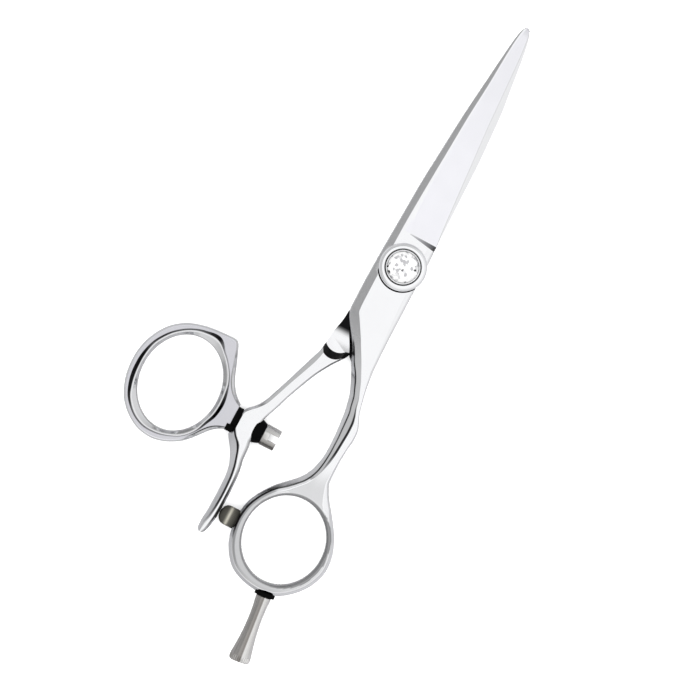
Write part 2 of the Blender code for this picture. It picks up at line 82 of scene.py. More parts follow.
FINGER_RING_OUTER = [(-60, 1.05), (-61.5, 2.6), (-63, 3.85), (-65, 5.25), (-67, 6.35), (-69, 7.15), (-71.5, 7.65),
                     (-74, 7.75), (-77, 7.4), (-80, 6.5), (-82.5, 5.05), (-84.8, 2.9), (-86.3, -0.2), (-87.0, -3.5),
                     (-86.95, -6.8), (-85.9, -10.2), (-83.6, -13.4), (-80.5, -16.0), (-77, -17.6), (-74, -18.0),
                     (-70.5, -17.5), (-67, -16.1), (-64, -14.2), (-62, -12.75), (-60, -11.2)]
FINGER_RING, FINGER_OPENING = (-73.0, -5.15), (11.2, 10.25)

# The thumb half by X
THUMB_UPPER = [(66.2, 0.20), (64, 0.6), (60, 1.0), (40, 2.6), (20, 3.7), (8, 4.6), (0, 5.8), (-8, 6.6), (-12, 6.8),
               (-17, 6.95), (-22, 7.9), (-27, 8.5), (-30, 9.5), (-33, 10.55), (-38, 12.3), (-42, 13.75), (-45, 15.0),
               (-47, 16.4), (-48.4, 17.8), (-49.0, 18.22), (-49.8, 18.3), (-55.5, 18.3), (-55.62, 19.15), (-56, 19.1),
               (-57, 18.6), (-58.5, 17.55), (-60, 16.6), (-61.5, 15.9), (-63, 15.35), (-66, 14.9), (-70, 14.85),
               (-75, 14.95), (-78, 15.2), (-79.4, 15.2), (-80.2, 15.0), (-80.7, 14.5)]
THUMB_LOWER = [(66.2, -0.35), (65.4, -1.0), (64, -1.5), (60, -2.2), (50, -3.4), (45, -4.0), (40, -4.3), (30, -4.75),
               (20, -4.85), (8, -5.05), (0, -5.1), (-8, -5.0), (-12, -4.5), (-16, -3.1), (-20, -1.2), (-22, 0.1),
               (-25, 1.6), (-26, 2.0), (-27, 2.7), (-28, 3.4), (-29, 4.15), (-30, 4.75), (-33, 6.5), (-38, 8.75),
               (-42, 10.35), (-45, 11.4), (-49, 12.9), (-52, 13.4), (-55, 13.4), (-57, 13.05), (-60, 12.85),
               (-63, 12.3), (-66, 12.05), (-70, 11.98), (-75, 12.1), (-78, 12.5), (-79.5, 12.85), (-80.3, 13.2),
               (-80.7, 13.7)]
THUMB_RIDGE = [(-20, 7.2), (-25, 7.3), (-28, 7.65), (-30, 8.15), (-33, 9.25), (-38, 11.25), (-42, 12.75), (-45, 14.0),
               (-47, 15.5), (-48.5, 17.0), (-49.4, 17.7), (-50.4, 18.0), (-53.8, 18.05), (-55, 17.75), (-56, 17.0),
               (-57, 16.0), (-58.5, 15.2), (-60, 14.7), (-63, 13.9), (-66, 13.52), (-70, 13.4), (-73, 13.5),
               (-76, 13.8), (-78, 14.15), (-80.7, 14.25)]
THUMB_FLOOR = [(66.2, 2.40), (40, 1.45), (20, 1.0), (8, 0.7), (-20, 0.7), (-30, 0.9), (-45, 0.9), (-50, 0.7),
               (-55, 0.7), (-60, 0.95), (-75, 1.15), (-80.7, 1.6)]

# The thumb ring's outline, then by angle round its opening: where the valley behind the bead runs, how wide it is,
# and the painted shade of the valley and of the line along the outer chamfer, standing in for dark reflections
THUMB_RING, THUMB_OPENING = (-50.5, 35.4), (12.2, 10.1)
THUMB_RING_OUTER = [(-52.3, 18.6), (-50.0, 18.6), (-48.9, 18.9), (-48.35, 19.8), (-47.6, 20.8), (-46.4, 22.0),
                    (-45.0, 23.0), (-43.1, 24.0), (-40.4, 25.0), (-38.0, 25.95), (-36.0, 26.75), (-34.9, 27.5),
                    (-34.55, 28.6), (-34.7, 31.5), (-34.9, 34.3), (-35.45, 37.3), (-36.5, 40.4), (-38.4, 43.3),
                    (-41, 45.6), (-44.3, 47.35), (-48, 48.35), (-52, 48.5), (-56, 47.85), (-60, 46.1), (-63, 43.4),
                    (-65.1, 40.0), (-65.85, 36.4), (-65.5, 33.3), (-64.4, 30.6), (-62.8, 28.1), (-60.6, 26.0),
                    (-58.1, 24.0), (-57.05, 23.0), (-56.3, 22.0), (-55.65, 20.8), (-55.3, 19.8), (-54.8, 18.6)]
VALLEY = [(0, 1.8), (15, 1.4), (30, 1.2), (45, 1.2), (60, 1.3), (75, 1.25), (90, 1.25), (105, 1.4), (120, 1.68),
          (135, 2.0), (150, 2.0), (165, 1.85), (180, 1.45), (195, 1.3), (210, 1.5), (225, 1.5), (240, 1.25),
          (255, 1.5), (270, 1.55), (285, 1.5), (300, 1.6), (315, 1.6), (330, 1.7), (345, 2.5), (360, 1.8)]
VALLEY_WIDTH = [(0, 0.45), (15, 0.3), (45, 0.4), (60, 0.48), (75, 0.68), (90, 0.88), (105, 0.95), (120, 0.84),
                (135, 0.55), (150, 0.38), (180, 0.28), (210, 0.24), (225, 0.28), (240, 0.5), (255, 0.72),
                (270, 0.78), (285, 0.5), (300, 0.26), (330, 0.28), (345, 0.9), (360, 0.45)]
VALLEY_SHADE = [(0, 0.9), (15, 0.7), (30, 0.75), (45, 0.95), (60, 0.9), (75, 1), (135, 0.97), (150, 0.75), (165, 0.72),
              (180, 0.6), (195, 0.38), (210, 0.3), (225, 0.4), (240, 0.95), (255, 1), (270, 1), (285, 0.9),
              (300, 0.35), (315, 0.35), (330, 0.45), (345, 1), (360, 0.9)]
CHAMFER_LINE_SHADE = [(0, 0.03), (205, 0.03), (215, 0.4), (222, 0.85), (230, 1), (250, 1), (262, 0.9), (268, 0.6),
               (275, 0.5), (282, 0.55), (296, 0.7), (304, 0.6), (318, 0.45), (329, 0.3), (340, 0.08), (360, 0.03)]


# ---------------------------------------------------------------- shader maths

class Wire:
    """A shader socket that can be used in a Python expression."""

    def __init__(self, graph, socket):
        self.graph, self.socket = graph, socket

    def _with(self, operation, first, second):
        return self.graph.node("ShaderNodeMath", {"operation": operation}, {0: first, 1: second})

    def __add__(self, other):
        return self._with("ADD", self, other)

    def __radd__(self, other):
        return self._with("ADD", other, self)

    def __sub__(self, other):
        return self._with("SUBTRACT", self, other)

    def __rsub__(self, other):
        return self._with("SUBTRACT", other, self)

    def __mul__(self, other):
        return self._with("MULTIPLY", self, other)

    def __rmul__(self, other):
        return self._with("MULTIPLY", other, self)

    def __truediv__(self, other):
        return self._with("DIVIDE", self, other)

    def __pow__(self, other):
        return self._with("POWER", self, other)


class Graph:
    """Makes the nodes of one tree."""

    def __init__(self, owner):
        owner.use_nodes = True
        self.tree = owner.node_tree

    def node(self, kind, settings=None, sockets=None, output=0):
        made = self.tree.nodes.new(kind)
        for name, value in (settings or {}).items():
            if name == "stops":
                ramp = made.color_ramp
                while len(ramp.elements) < len(value):
                    ramp.elements.new(0.5)
                for element, (place, colour) in zip(ramp.elements, value):
                    element.position, element.color = place, (*colour, 1)
            else:
                setattr(made, name, value)
        for name, value in (sockets or {}).items():
            self.put(made.inputs[name], value)
        return Wire(self, made.outputs[output])

    def put(self, socket, value):
        if isinstance(value, Wire):
            self.tree.links.new(value.socket, socket)
        else:
            socket.default_value = value

    def step(self, value, low, high, out_low=0.0, out_high=1.0):
        """A smooth step of value from low to high."""
        return self.node("ShaderNodeMapRange", {"interpolation_type": "SMOOTHSTEP"},
                         {0: value, 1: low, 2: high, 3: out_low, 4: out_high})

    def mix(self, factor, first, second, blend="MIX"):
        """A mix of two colours."""
        return self.node("ShaderNodeMix", {"data_type": "RGBA", "blend_type": blend},
                         {0: factor, 6: first, 7: second}, output=2)

    def place(self, scale=(1, 1, 1), turn=(0, 0, 0), shift=(0, 0, 0)):
        """Object coordinates through a Mapping node."""
        own = self.node("ShaderNodeTexCoord", output="Object")
        return self.node("ShaderNodeMapping", {}, {"Vector": own, "Location": shift, "Rotation": turn, "Scale": scale})

    def noise(self, vector, scale, detail=2.0, rough=0.5, output="Fac"):
        return self.node("ShaderNodeTexNoise", {}, {"Vector": vector, "Scale": scale, "Detail": detail,
                                                    "Roughness": rough}, output=output)

    def layer(self, name):
        """A number kept on the piece's own points."""
        return self.node("ShaderNodeAttribute", {"attribute_type": "GEOMETRY", "attribute_name": name}, output="Fac")


def finish(name, colour=None, metallic=0.0, roughness=0.4, constants=None):
    """A material with its Principled shader's constants set on its own sockets, and a graph to add to it."""
    made = bpy.data.materials.new(name)
    graph = Graph(made)
    shader = made.node_tree.nodes["Principled BSDF"]
    if colour:
        shader.inputs["Base Color"].default_value = (*colour, 1)
    shader.inputs["Metallic"].default_value = metallic
    shader.inputs["Roughness"].default_value = roughness
    for label, value in (constants or {}).items():
        shader.inputs[label].default_value = value
    return made, graph, shader


def bump(graph, shader, height, strength, distance):
    shader_normal = graph.node("ShaderNodeBump", {}, {"Strength": strength, "Distance": distance, "Height": height},
                               output="Normal")
    graph.put(shader.inputs["Normal"], shader_normal)


def mirror_steel(name, tint, roughness, satin_roughness):
    """Polished steel with faint hairlines. The piece's own layers say where it is dark, satin (grain above 0) or
    finely ground (grain below 0). The dark is painted shade: lines and facets that stand in for dark reflections
    and shadow gaps. Ambient occlusion paints further shade into creases and contact lines."""
    made, graph, shader = finish(name, metallic=1.0)
    shade, grain = graph.layer("shade"), graph.layer("grain")
    satin, ground = graph.step(grain, 0, 1), graph.step(grain, 0, -1)
    fine = graph.noise(graph.place(scale=(0.2, 1, 1)), 9000, 3, 0.6)
    cloud = graph.noise(graph.place(), 260, 3, 0.55)
    # painted shade: ambient occlusion darkens creases and contact lines
    crease_shade = graph.node("ShaderNodeAmbientOcclusion", {"samples": 6}, {"Distance": 0.0008}, output="AO")
    light = (1 - shade) * graph.step(crease_shade, -0.05, 0.5, 0.12, 1) * (0.975 + 0.05 * cloud)
    bright = graph.mix(ground, (*tint, 1), (tint[0] * 0.955, tint[1] * 0.945, tint[2] * 1.0, 1))
    # painted shade and dark reflections: the shade layer and the creases blend the colour toward near-black
    colour = graph.mix(light, (0.008, 0.008, 0.009, 1), bright)
    graph.put(shader.inputs["Base Color"], graph.mix(satin * (0.35 + 0.5 * fine), colour, (0.34, 0.34, 0.345, 1)))
    graph.put(shader.inputs["Roughness"], roughness + 0.03 * cloud + 0.02 * fine + satin * satin_roughness
              + ground * 0.08)
    bump(graph, shader, fine, 0.06, 0.00002)
    return made


# ---------------------------------------------------------------- shapes

def between(table, x):
    """A smooth value at x from a table of (x, value), with no overshoot (monotone cubic)."""
    table = sorted(table)
    if x <= table[0][0]:
        return table[0][1]
    if x >= table[-1][0]:
        return table[-1][1]
    slopes = [(b[1] - a[1]) / (b[0] - a[0]) for a, b in zip(table, table[1:])]
    tangents = [slopes[0]]
    tangents += [0.0 if a * b <= 0 else 2 * a * b / (a + b) for a, b in zip(slopes, slopes[1:])]
    tangents.append(slopes[-1])
    i = max(k for k in range(len(slopes)) if table[k][0] <= x)
    (x0, y0), (x1, y1) = table[i], table[i + 1]
    h = x1 - x0
    t = (x - x0) / h
    return ((2 * t**3 - 3 * t**2 + 1) * y0 + (t**3 - 2 * t**2 + t) * h * tangents[i]
            + (3 * t**2 - 2 * t**3) * y1 + (t**3 - t**2) * h * tangents[i + 1])


def smooth_step(x, a, b):
    t = min(1, max(0, (x - a) / (b - a)))
    return t * t * (3 - 2 * t)


def stations(start, stop, step):
    count = max(1, round(abs(stop - start) / step))
    return [start + (stop - start) * k / count for k in range(count + 1)]


def through(points, parts, closed=False):
    """A smooth line through points, with this many parts between each two."""
    count, line = len(points), []
    last = count if closed else count - 1
    for k in range(last):
        if closed:
            a, b, c, d = (Vector(points[(k + j) % count]) for j in (-1, 0, 1, 2))
        else:
            a, b, c, d = (Vector(points[min(count - 1, max(0, k + j))]) for j in (-1, 0, 1, 2))
        for j in range(parts):
            t = j / parts
            line.append(0.5 * (2 * b + (c - a) * t + (2 * a - 5 * b + 4 * c - d) * t**2
                               + (3 * b - a - 3 * c + d) * t**3))
    if not closed:
        line.append(Vector(points[-1]))
    return line


def rounded(corners, closed=False, steps=4):
    """Rounds each corner (u, v, setback, line, face, grain) of a section. Line is the painted shade on the rounding,
    face and grain the painted shade and grain of the side that follows it. Gives (u, v, shade, grain) and the same
    count for any sizes."""
    out, count = [], len(corners)
    for i, (u, v, setback, line, face, grain) in enumerate(corners):
        if not closed and i in (0, count - 1):
            before = corners[i - 1] if i else corners[i]
            out.append((u, v, before[4], before[5]))
            continue
        here, before, after = Vector((u, v)), corners[i - 1], corners[(i + 1) % count]
        back, on = Vector(before[:2]) - here, Vector(after[:2]) - here
        room = 0.44 * min(back.length, on.length)
        reach = min(setback, room)
        back_n, on_n = back.normalized(), on.normalized()
        edge = min(0.10, 0.05 * back.length)
        p = here + back_n * (reach + edge)
        out.append((p.x, p.y, before[4], before[5]))
        for k in range(steps + 1):
            t = k / steps
            p = here + back_n * reach * (1 - t)**2 + on_n * reach * t**2
            weight = 1.0 if 0 < k < steps else 0.5
            rest = before[4] if k == 0 else face
            out.append((p.x, p.y, line * weight + rest * (1 - weight), before[5] if t < 0.5 else grain))
        edge = min(0.10, 0.05 * on.length)
        p = here + on_n * (reach + edge)
        out.append((p.x, p.y, face, grain))
    return out


def new_bm():
    bm = bmesh.new()
    # shade holds painted shade that stands in for reflections and shadow; grain marks satin (above 0) and ground (below
    # 0) finish
    bm.verts.layers.float.new("shade")
    bm.verts.layers.float.new("grain")
    return bm


def set_point(bm, vert, point):
    vert.co = point[:3]
    vert[bm.verts.layers.float["shade"]] = point[3]
    vert[bm.verts.layers.float["grain"]] = point[4]


def skin(bm, sections, ring=False):
    """Extrudes one section's edges through the rest. A ring section closes on itself."""
    verts = [bm.verts.new(p[:3]) for p in sections[0]]
    for vert, point in zip(verts, sections[0]):
        set_point(bm, vert, point)
    pairs = list(zip(verts, verts[1:])) + ([(verts[-1], verts[0])] if ring else [])
    edges = [bm.edges.new(pair) for pair in pairs]
    for section in sections[1:]:
        made = bmesh.ops.extrude_edge_only(bm, edges=edges)["geom"]
        fresh = {g for g in made if isinstance(g, bmesh.types.BMVert)}
        verts = [next(e.other_vert(v) for e in v.link_edges if e.other_vert(v) in fresh) for v in verts]
        edges = [g for g in made if isinstance(g, bmesh.types.BMEdge) and g.verts[0] in fresh and g.verts[1] in fresh]
        for vert, point in zip(verts, section):
            set_point(bm, vert, point)


def close_up(bm, dist=0.002):
    """Welds what meets and fills what is left open."""
    bmesh.ops.remove_doubles(bm, verts=bm.verts, dist=dist)
    bmesh.ops.dissolve_degenerate(bm, edges=bm.edges, dist=0.0005)
    rim = [e for e in bm.edges if len(e.link_faces) == 1]
    if rim:
        bmesh.ops.holes_fill(bm, edges=rim, sides=0)


def turned(profile, steps=96, start=None):
    """A profile of (radius, height) spun about Z."""
    bm = start or bmesh.new()
    verts = [bm.verts.new((r, 0, z)) for r, z in profile]
    on_axis = profile[0][0] == 0 and profile[-1][0] == 0
    pairs = list(zip(verts, verts[1:])) + ([] if on_axis else [(verts[-1], verts[0])])
    edges = [bm.edges.new(pair) for pair in pairs]
    bmesh.ops.spin(bm, geom=verts + edges, cent=(0, 0, 0), axis=(0, 0, 1), angle=2 * math.pi, steps=steps,
                   use_merge=True, use_duplicate=False)
    bmesh.ops.remove_doubles(bm, verts=bm.verts, dist=1e-4)
    return bm


def paint(bm, layers):
    """Sets the shade and grain of every point from layers(point)."""
    for name in ("shade", "grain"):
        if name not in bm.verts.layers.float:
            bm.verts.layers.float.new(name)
    for vert in bm.verts:
        vert[bm.verts.layers.float["shade"]], vert[bm.verts.layers.float["grain"]] = layers(vert.co)
    return bm


def soften(bm, width, angle=28, segments=3):
    """Bevels every edge sharper than the angle."""
    sharp = [e for e in bm.edges if e.is_manifold and e.calc_face_angle(0) > math.radians(angle)]
    bmesh.ops.bevel(bm, geom=sharp, affect="EDGES", offset=width, offset_type="OFFSET", segments=segments,
                    profile=0.5, material=-1, clamp_overlap=True)


def box(size, centre):
    bm = bmesh.new()
    bmesh.ops.create_cube(bm, size=1)
    bmesh.ops.scale(bm, vec=size, verts=bm.verts)
    bmesh.ops.translate(bm, vec=centre, verts=bm.verts)
    return bm


def along_y(bm, at=(0, 0, 0)):
    bmesh.ops.rotate(bm, verts=bm.verts, cent=(0, 0, 0), matrix=Matrix.Rotation(-math.pi / 2, 3, "X"))
    bmesh.ops.translate(bm, vec=at, verts=bm.verts)
    return bm


def mark_sharp(mesh, angle):
    bm = bmesh.new()
    bm.from_mesh(mesh)
    for face in bm.faces:
        face.smooth = True
    for edge in bm.edges:
        edge.smooth = not (edge.is_manifold and edge.calc_face_angle(0) > math.radians(angle))
    bm.to_mesh(mesh)
    bm.free()


def as_object(name, bm, looks=()):
    """The bmesh, in millimetres, as an object with its place in its mesh."""
    bmesh.ops.recalc_face_normals(bm, faces=bm.faces)
    bmesh.ops.scale(bm, vec=(MM, MM, MM), verts=bm.verts)
    mesh = bpy.data.meshes.new(name)
    bm.to_mesh(mesh)
    bm.free()
    for look in looks:
        mesh.materials.append(look)
    made = bpy.data.objects.new(name, mesh)
    bpy.context.scene.collection.objects.link(made)
    return made


def cut(piece, tools, operation="DIFFERENCE"):
    """Cuts the tools from the piece and removes them."""
    objects = [as_object("tool", bm, looks) for bm, looks in tools]
    for tool in objects:
        step = piece.modifiers.new("cut", "BOOLEAN")
        step.operation, step.solver, step.object = operation, "EXACT", tool
        step.material_mode = "TRANSFER"
    graph = bpy.context.evaluated_depsgraph_get()
    mesh = bpy.data.meshes.new_from_object(piece.evaluated_get(graph), preserve_all_data_layers=True,
                                           depsgraph=graph)
    piece.modifiers.clear()
    piece.data = mesh
    for tool in objects:
        bpy.data.objects.remove(tool, do_unlink=True)


def refill(piece, rule):
    """Gives points that a cut has made the shade and grain of the face they lie in: rule(point in mm) or None."""
    shade, grain = (piece.data.attributes[name].data for name in ("shade", "grain"))
    for vert in piece.data.vertices:
        found = rule(vert.co / MM)
        if found:
            shade[vert.index].value, grain[vert.index].value = found


def settle(piece, body, nodes, angle=38):
    """Shades the finished piece and ties it to its body and the CAD nodes it stands for."""
    mark_sharp(piece.data, angle)
    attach(piece, body)
    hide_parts(*nodes)
    return piece


# ---------------------------------------------------------------- sections of the forged pieces

def finger_outline(xm):
    """The outline's X that belongs to a middle-line X: they part only where the web fans out to the ring."""
    return xm if xm > -50 else -50 + (xm + 50) * 10 / 13


def outline_normal(table, x, side):
    slope = (between(table, x + 0.2) - between(table, x - 0.2)) / 0.4
    return Vector((-slope, 1)).normalized() * side


class Cross:
    """Cross-section of the finger half, as distances square to its outline and drops below its top, with the painted
    shade of its lines and faces.
    """

    def __init__(self, top, floor, soft, widths, drops, skirt=0.0, flat=0.0, lines=(0, 0), faces=(0, 0), grain=0.0,
                 reach=(0.15, 0.15)):
        self.values = [top, floor, soft, *widths, *drops, skirt, flat, *lines, *faces, grain, *reach]

    def blend(self, other, share):
        made = Cross.__new__(Cross)
        made.values = [a * (1 - share) + b * share for a, b in zip(self.values, other.values)]
        return made

    def chain(self, middle, outer, normal):
        """From the middle line over the top to the outline and back under to the middle line."""
        (top, floor, soft, face, under, face_drop, under_drop, edge_drop, skirt, flat, face_line, under_line,
         face_shade, under_shade, grain, face_reach, under_reach) = self.values
        m, o = Vector(middle), Vector(outer)
        wide = (o - m).length
        way = (o - m) / wide
        lean = 1 / max(0.45, way.dot(normal))
        face, under = min(face * lean, 0.97 * wide), min(under * lean, 0.9 * wide)
        corners = [(0, top, 0, 0, flat, min(grain, 0)),
                   (wide - face, top - face_drop, face_reach, face_line, face_shade, grain),
                   (wide - under, top - under_drop, under_reach, under_line, under_shade, grain * 0.6),
                   # the outline's rounding and the skirt below it are painted dark as a shadow gap wherever there is a
                   # skirt
                   (wide, top - edge_drop, 0.18, max(0.10, min(1, 2 * skirt)), min(1, 2 * skirt), 0),
                   (wide + skirt, floor + soft, 0.3 * soft, 0, 0, 0),
                   (wide + skirt - soft, floor, 0.3 * soft, 0, 0, 0),
                   (0, floor, 0, 0, 0, 0)]
        return [(m.x + way.x * u, m.y + way.y * u, z, shade, gloss) for u, z, shade, gloss in rounded(corners)]


def finger_heights(x):
    thick = smooth_step(-x, 28.2, 33)
    floor = (RIDE_Z + RIDE_GAP) * (1 - thick) + (RIDE_Z - SHANK_HALF) * thick
    return between(FINGER_TOP, x), floor, 0.06 + 0.84 * thick


# Painted shade by X along the finger half's upper side: dark lines on the face and under-bevel ridges and the
# under-bevel's tone, standing in for dark reflections
FACE_LINE_SHADE = [(66, 0.1), (0, 0.1), (-4, 0.45), (-13, 0.45), (-15, 0.35), (-20, 0.45), (-24, 0.25), (-28, 0.12),
            (-32, 0.2), (-34, 0.45), (-36, 0.75), (-38, 0.95), (-40, 1), (-48, 1), (-50, 0.85), (-52, 0.55),
            (-54, 0.2), (-56, 0)]
UNDER_LINE_SHADE = [(66, 0), (-20, 0), (-23, 0.1), (-24, 0.4), (-26, 0.9), (-28.5, 1), (-32, 0.95), (-36, 0.85), (-40, 0.9),
             (-45, 0.75), (-50, 0.9), (-55, 0.95), (-57, 0.9), (-60, 0.85)]
UNDER_SHADE = [(66, 0), (-20, 0.05), (-22, 0.35), (-24, 0.6), (-26, 0.3), (-28.5, 0.05), (-60, 0.02)]


def upper_cross(x):
    """Blade spine side and the shank's two bevels."""
    top, floor, soft = finger_heights(x)
    outline, face = between(FINGER_UPPER, x), between(FINGER_FACE, x)
    upright = outline_normal(FINGER_UPPER, x, 1).y
    under = between(FINGER_UNDER, x) if x < -14 else outline - 0.12 * (outline - face)
    wide, rim = (outline - face) * upright, (outline - under) * upright
    fan = smooth_step(-x, 53, 58)
    shank = smooth_step(-x, 14, 30)
    under_drop = 0.74 * (wide - rim) * (1 - fan) + 0.05 * fan
    edge_drop = min(under_drop + rim * (1.1 + 0.5 * shank), 0.9 * (top - floor - soft))
    # painted shadow: a skirt under the upper edge, blackened as the shadow gap against the thumb half
    skirt = 0.68 * smooth_step(-x, 16.5, 22) * (1 - smooth_step(-x, 25.3, 26.6))
    # the web toward the ring is painted grey as shade
    return Cross(top, floor, soft, (wide, rim), (0, under_drop, edge_drop), skirt, 0.24 * smooth_step(-x, 51, 57),
                 (between(FACE_LINE_SHADE, x), between(UNDER_LINE_SHADE, x)), (0.06 + 0.18 * fan, between(UNDER_SHADE, x)),
                 1 - shank, (0.10 + 0.24 * smooth_step(-x, 34, 40) * (1 - smooth_step(-x, 50, 54)),
                             0.08 + 0.19 * smooth_step(-x, 22, 28)))


def lower_cross(x, ground):
    """The ground face along the edge, or the plain rounded side of the shank."""
    top, floor, soft = finger_heights(x)
    outline, middle = between(FINGER_LOWER, x), between(FINGER_MIDDLE, x)
    upright = abs(outline_normal(FINGER_LOWER, x, -1).y)
    if x > 7:
        wide = (between(GROUND_LINE, max(x, 8)) - outline) * upright
        high = (top - floor - 0.26 - 0.3 * smooth_step(-x, -40, -8)) * ground
        return Cross(top, floor, 0.03, (wide, 0.22), (0.0, high * (1 - 0.22 / wide), max(high, 0.35)), 0, 0,
                     (0.03, 0), (0.015, 0.08), -0.5 * ground, (0.05, 0.05))
    # the web toward the ring is painted grey as shade
    fan = smooth_step(-x, 51, 57)
    return Cross(top, floor, soft, (min(2.0, 0.3 * (middle - outline)), 0.45),
                 (0.0, 0.06, 0.45 + 0.3 * smooth_step(-x, 28, 36)), 0, 0.24 * fan, (0, 0.1), (0.04, 0.04))


def finger_upper_section(xm):
    x = finger_outline(xm)
    return upper_cross(x).chain((xm, between(FINGER_MIDDLE, xm)), (x, between(FINGER_UPPER, x)),
                                outline_normal(FINGER_UPPER, x, 1))


def finger_lower_section(xm, ground=1.0, riser=0.0, back=0.0):
    """With a riser it is one lip of the step behind the ground face, leaning back toward the edge, its top side painted
    dark as the step's shadow.
    """
    x = finger_outline(xm)
    points = lower_cross(x, ground).chain((xm, between(FINGER_MIDDLE, xm)), (x, between(FINGER_LOWER, x)),
                                          outline_normal(FINGER_LOWER, x, -1))
    if riser == 0 and back == 0:
        return points
    out = []
    for px, py, pz, shade, grain in points:
        below = max(0.0, (2.2 - py) / 7.0)
        top_side = pz > RIDE_Z + 0.4
        lean = 1.0 * below ** 1.3 if top_side else 0
        fade = smooth_step(below, 0.02, 0.2)
        out.append((px - back * (lean + 0.06), py, pz, max(shade, riser * fade) if top_side else shade, 0))
    return out


# Painted shade by angle round the finger ring: the under-bevel line, the top face and the under-bevel, standing in for
# dark reflections
RING_UNDER_LINE_SHADE = [(0, 0.85), (25, 0.9), (40, 1), (100, 1), (110, 0.7), (118, 0.15), (125, 0.02), (360, 0.02)]
RING_FACE_SHADE = [(0, 0.24), (20, 0.22), (38, 0.2), (55, 0.32), (95, 0.34), (112, 0.36), (130, 0.38), (190, 0.36),
                   (215, 0.24), (240, 0.2), (270, 0.16), (320, 0.12), (340, 0.2), (360, 0.24)]
RING_UNDER_SHADE = [(0, 0.05), (60, 0.15), (110, 0.25), (140, 0.3), (180, 0.28), (205, 0.08), (240, 0.04),
                    (330, 0.06), (360, 0.05)]


def finger_ring_sections():
    line = through(FINGER_RING_OUTER, 6)
    (cx, cy), (ax, ay) = FINGER_RING, FINGER_OPENING
    first = math.degrees(math.atan2(line[0].y - cy, line[0].x - cx))
    last = math.degrees(math.atan2(line[-1].y - cy, line[-1].x - cx)) + 360
    start, end = upper_cross(-60), lower_cross(-60, 0)
    sections = []
    for before, point, after in zip(line, line[1:], line[2:]):
        turn = math.degrees(math.atan2(point.y - cy, point.x - cx)) % 360
        share = (turn - first) / (last - first)
        lag = first * (1 - smooth_step(share, 0, 0.15)) - (360 - last) * smooth_step(share, 0.85, 1)
        inner = math.radians(turn - lag)
        middle = (cx + (ax - 1.2) * math.cos(inner), cy + (ay - 1.2) * math.sin(inner))
        along = (after - before).normalized()
        under = 0.85 - 0.15 * smooth_step(turn, 30, 60) * (1 - smooth_step(turn, 100, 130))
        plain = Cross(5.96, RIDE_Z - RING_HALF + 0.04, 0.9, (1.8, under), (0, 0.38, 1.45), 0,
                      between(RING_FACE_SHADE, turn),
                      (between(RING_FACE_SHADE, turn), between(RING_UNDER_LINE_SHADE, turn)),
                      (between(RING_FACE_SHADE, turn), between(RING_UNDER_SHADE, turn)), 0,
                      (0.4, 0.2 + 0.14 * smooth_step(turn, 30, 50) * (1 - smooth_step(turn, 100, 120))))
        cross = start.blend(plain, smooth_step(share, 0, 0.07)).blend(end, 1 - smooth_step(1 - share, 0, 0.07))
        sections.append(cross.chain(middle, point, Vector((along.y, -along.x))))
    return sections


LIP_WIDTH = [(0, 0.95), (30, 0.75), (60, 0.55), (90, 0.5), (120, 0.55), (180, 0.7), (210, 0.9), (240, 1.3),
             (300, 1.3), (330, 1.1), (360, 0.95)]


# Painted shade of the lip round the finger ring's opening, by angle, standing in for dark reflections
LIP_SHADE = [(0, 0.66), (60, 0.56), (90, 0.5), (180, 0.5), (210, 0.64), (345, 0.7), (360, 0.66)]


def lip_top(deg):
    """Height of the finger ring's top face by angle: lower where the web joins."""
    return 5.80 + 0.16 * smooth_step(min(deg, 360 - deg), 25.5, 47)


def lip_cutter(depth):
    """A waisted plug, whose flare at each end leaves a rounded lip round the finger ring's opening."""
    (cx, cy), (ax, ay) = FINGER_RING, FINGER_OPENING
    sections = []
    for k in range(180):
        turn = 2 * math.pi * k / 180
        wide, top = between(LIP_WIDTH, math.degrees(turn)), lip_top(math.degrees(turn))
        arc = [(wide * (1 - math.cos(a)), top - depth * (1 - math.sin(a)))
               for a in (math.radians(15 * j) for j in range(7))]
        half = [(0, RIDE_Z), *arc, (wide, 7)]
        loop = [(u, 2 * RIDE_Z - z) for u, z in reversed(half[1:])] + half
        out = Vector((ax * math.cos(turn), ay * math.sin(turn)))
        way = Vector((math.cos(turn) / ax, math.sin(turn) / ay)).normalized()
        sections.append([(cx + out.x + way.x * u, cy + out.y + way.y * u, z, 0, 0) for u, z in loop])
    bm = new_bm()
    skin(bm, sections + [sections[0]])
    close_up(bm)
    return bm


def lip_tone(co):
    """Painted shade and grain of the rounded lip, darker toward its flatter top, and of the top face where the lip
    meets it.
    """
    (cx, cy), (ax, ay) = FINGER_RING, FINGER_OPENING
    turn = math.atan2((co.y - cy) / ay, (co.x - cx) / ax)
    deg = math.degrees(turn) % 360
    way = Vector((math.cos(turn) / ax, math.sin(turn) / ay)).normalized()
    out = (co.x - cx - ax * math.cos(turn)) * way.x + (co.y - cy - ay * math.sin(turn)) * way.y
    share = out / between(LIP_WIDTH, deg)
    if not (-0.05 < share < 1.06 and RIDE_Z + 0.2 < co.z < lip_top(deg) + 0.02):
        return None
    if share > 0.97:
        return between(RING_FACE_SHADE, math.degrees(math.atan2(co.y - cy, co.x - cx)) % 360), 0
    return between(LIP_SHADE, deg) * (0.5 + 0.5 * math.sqrt(1 - (1 - max(0, share))**2)), 0


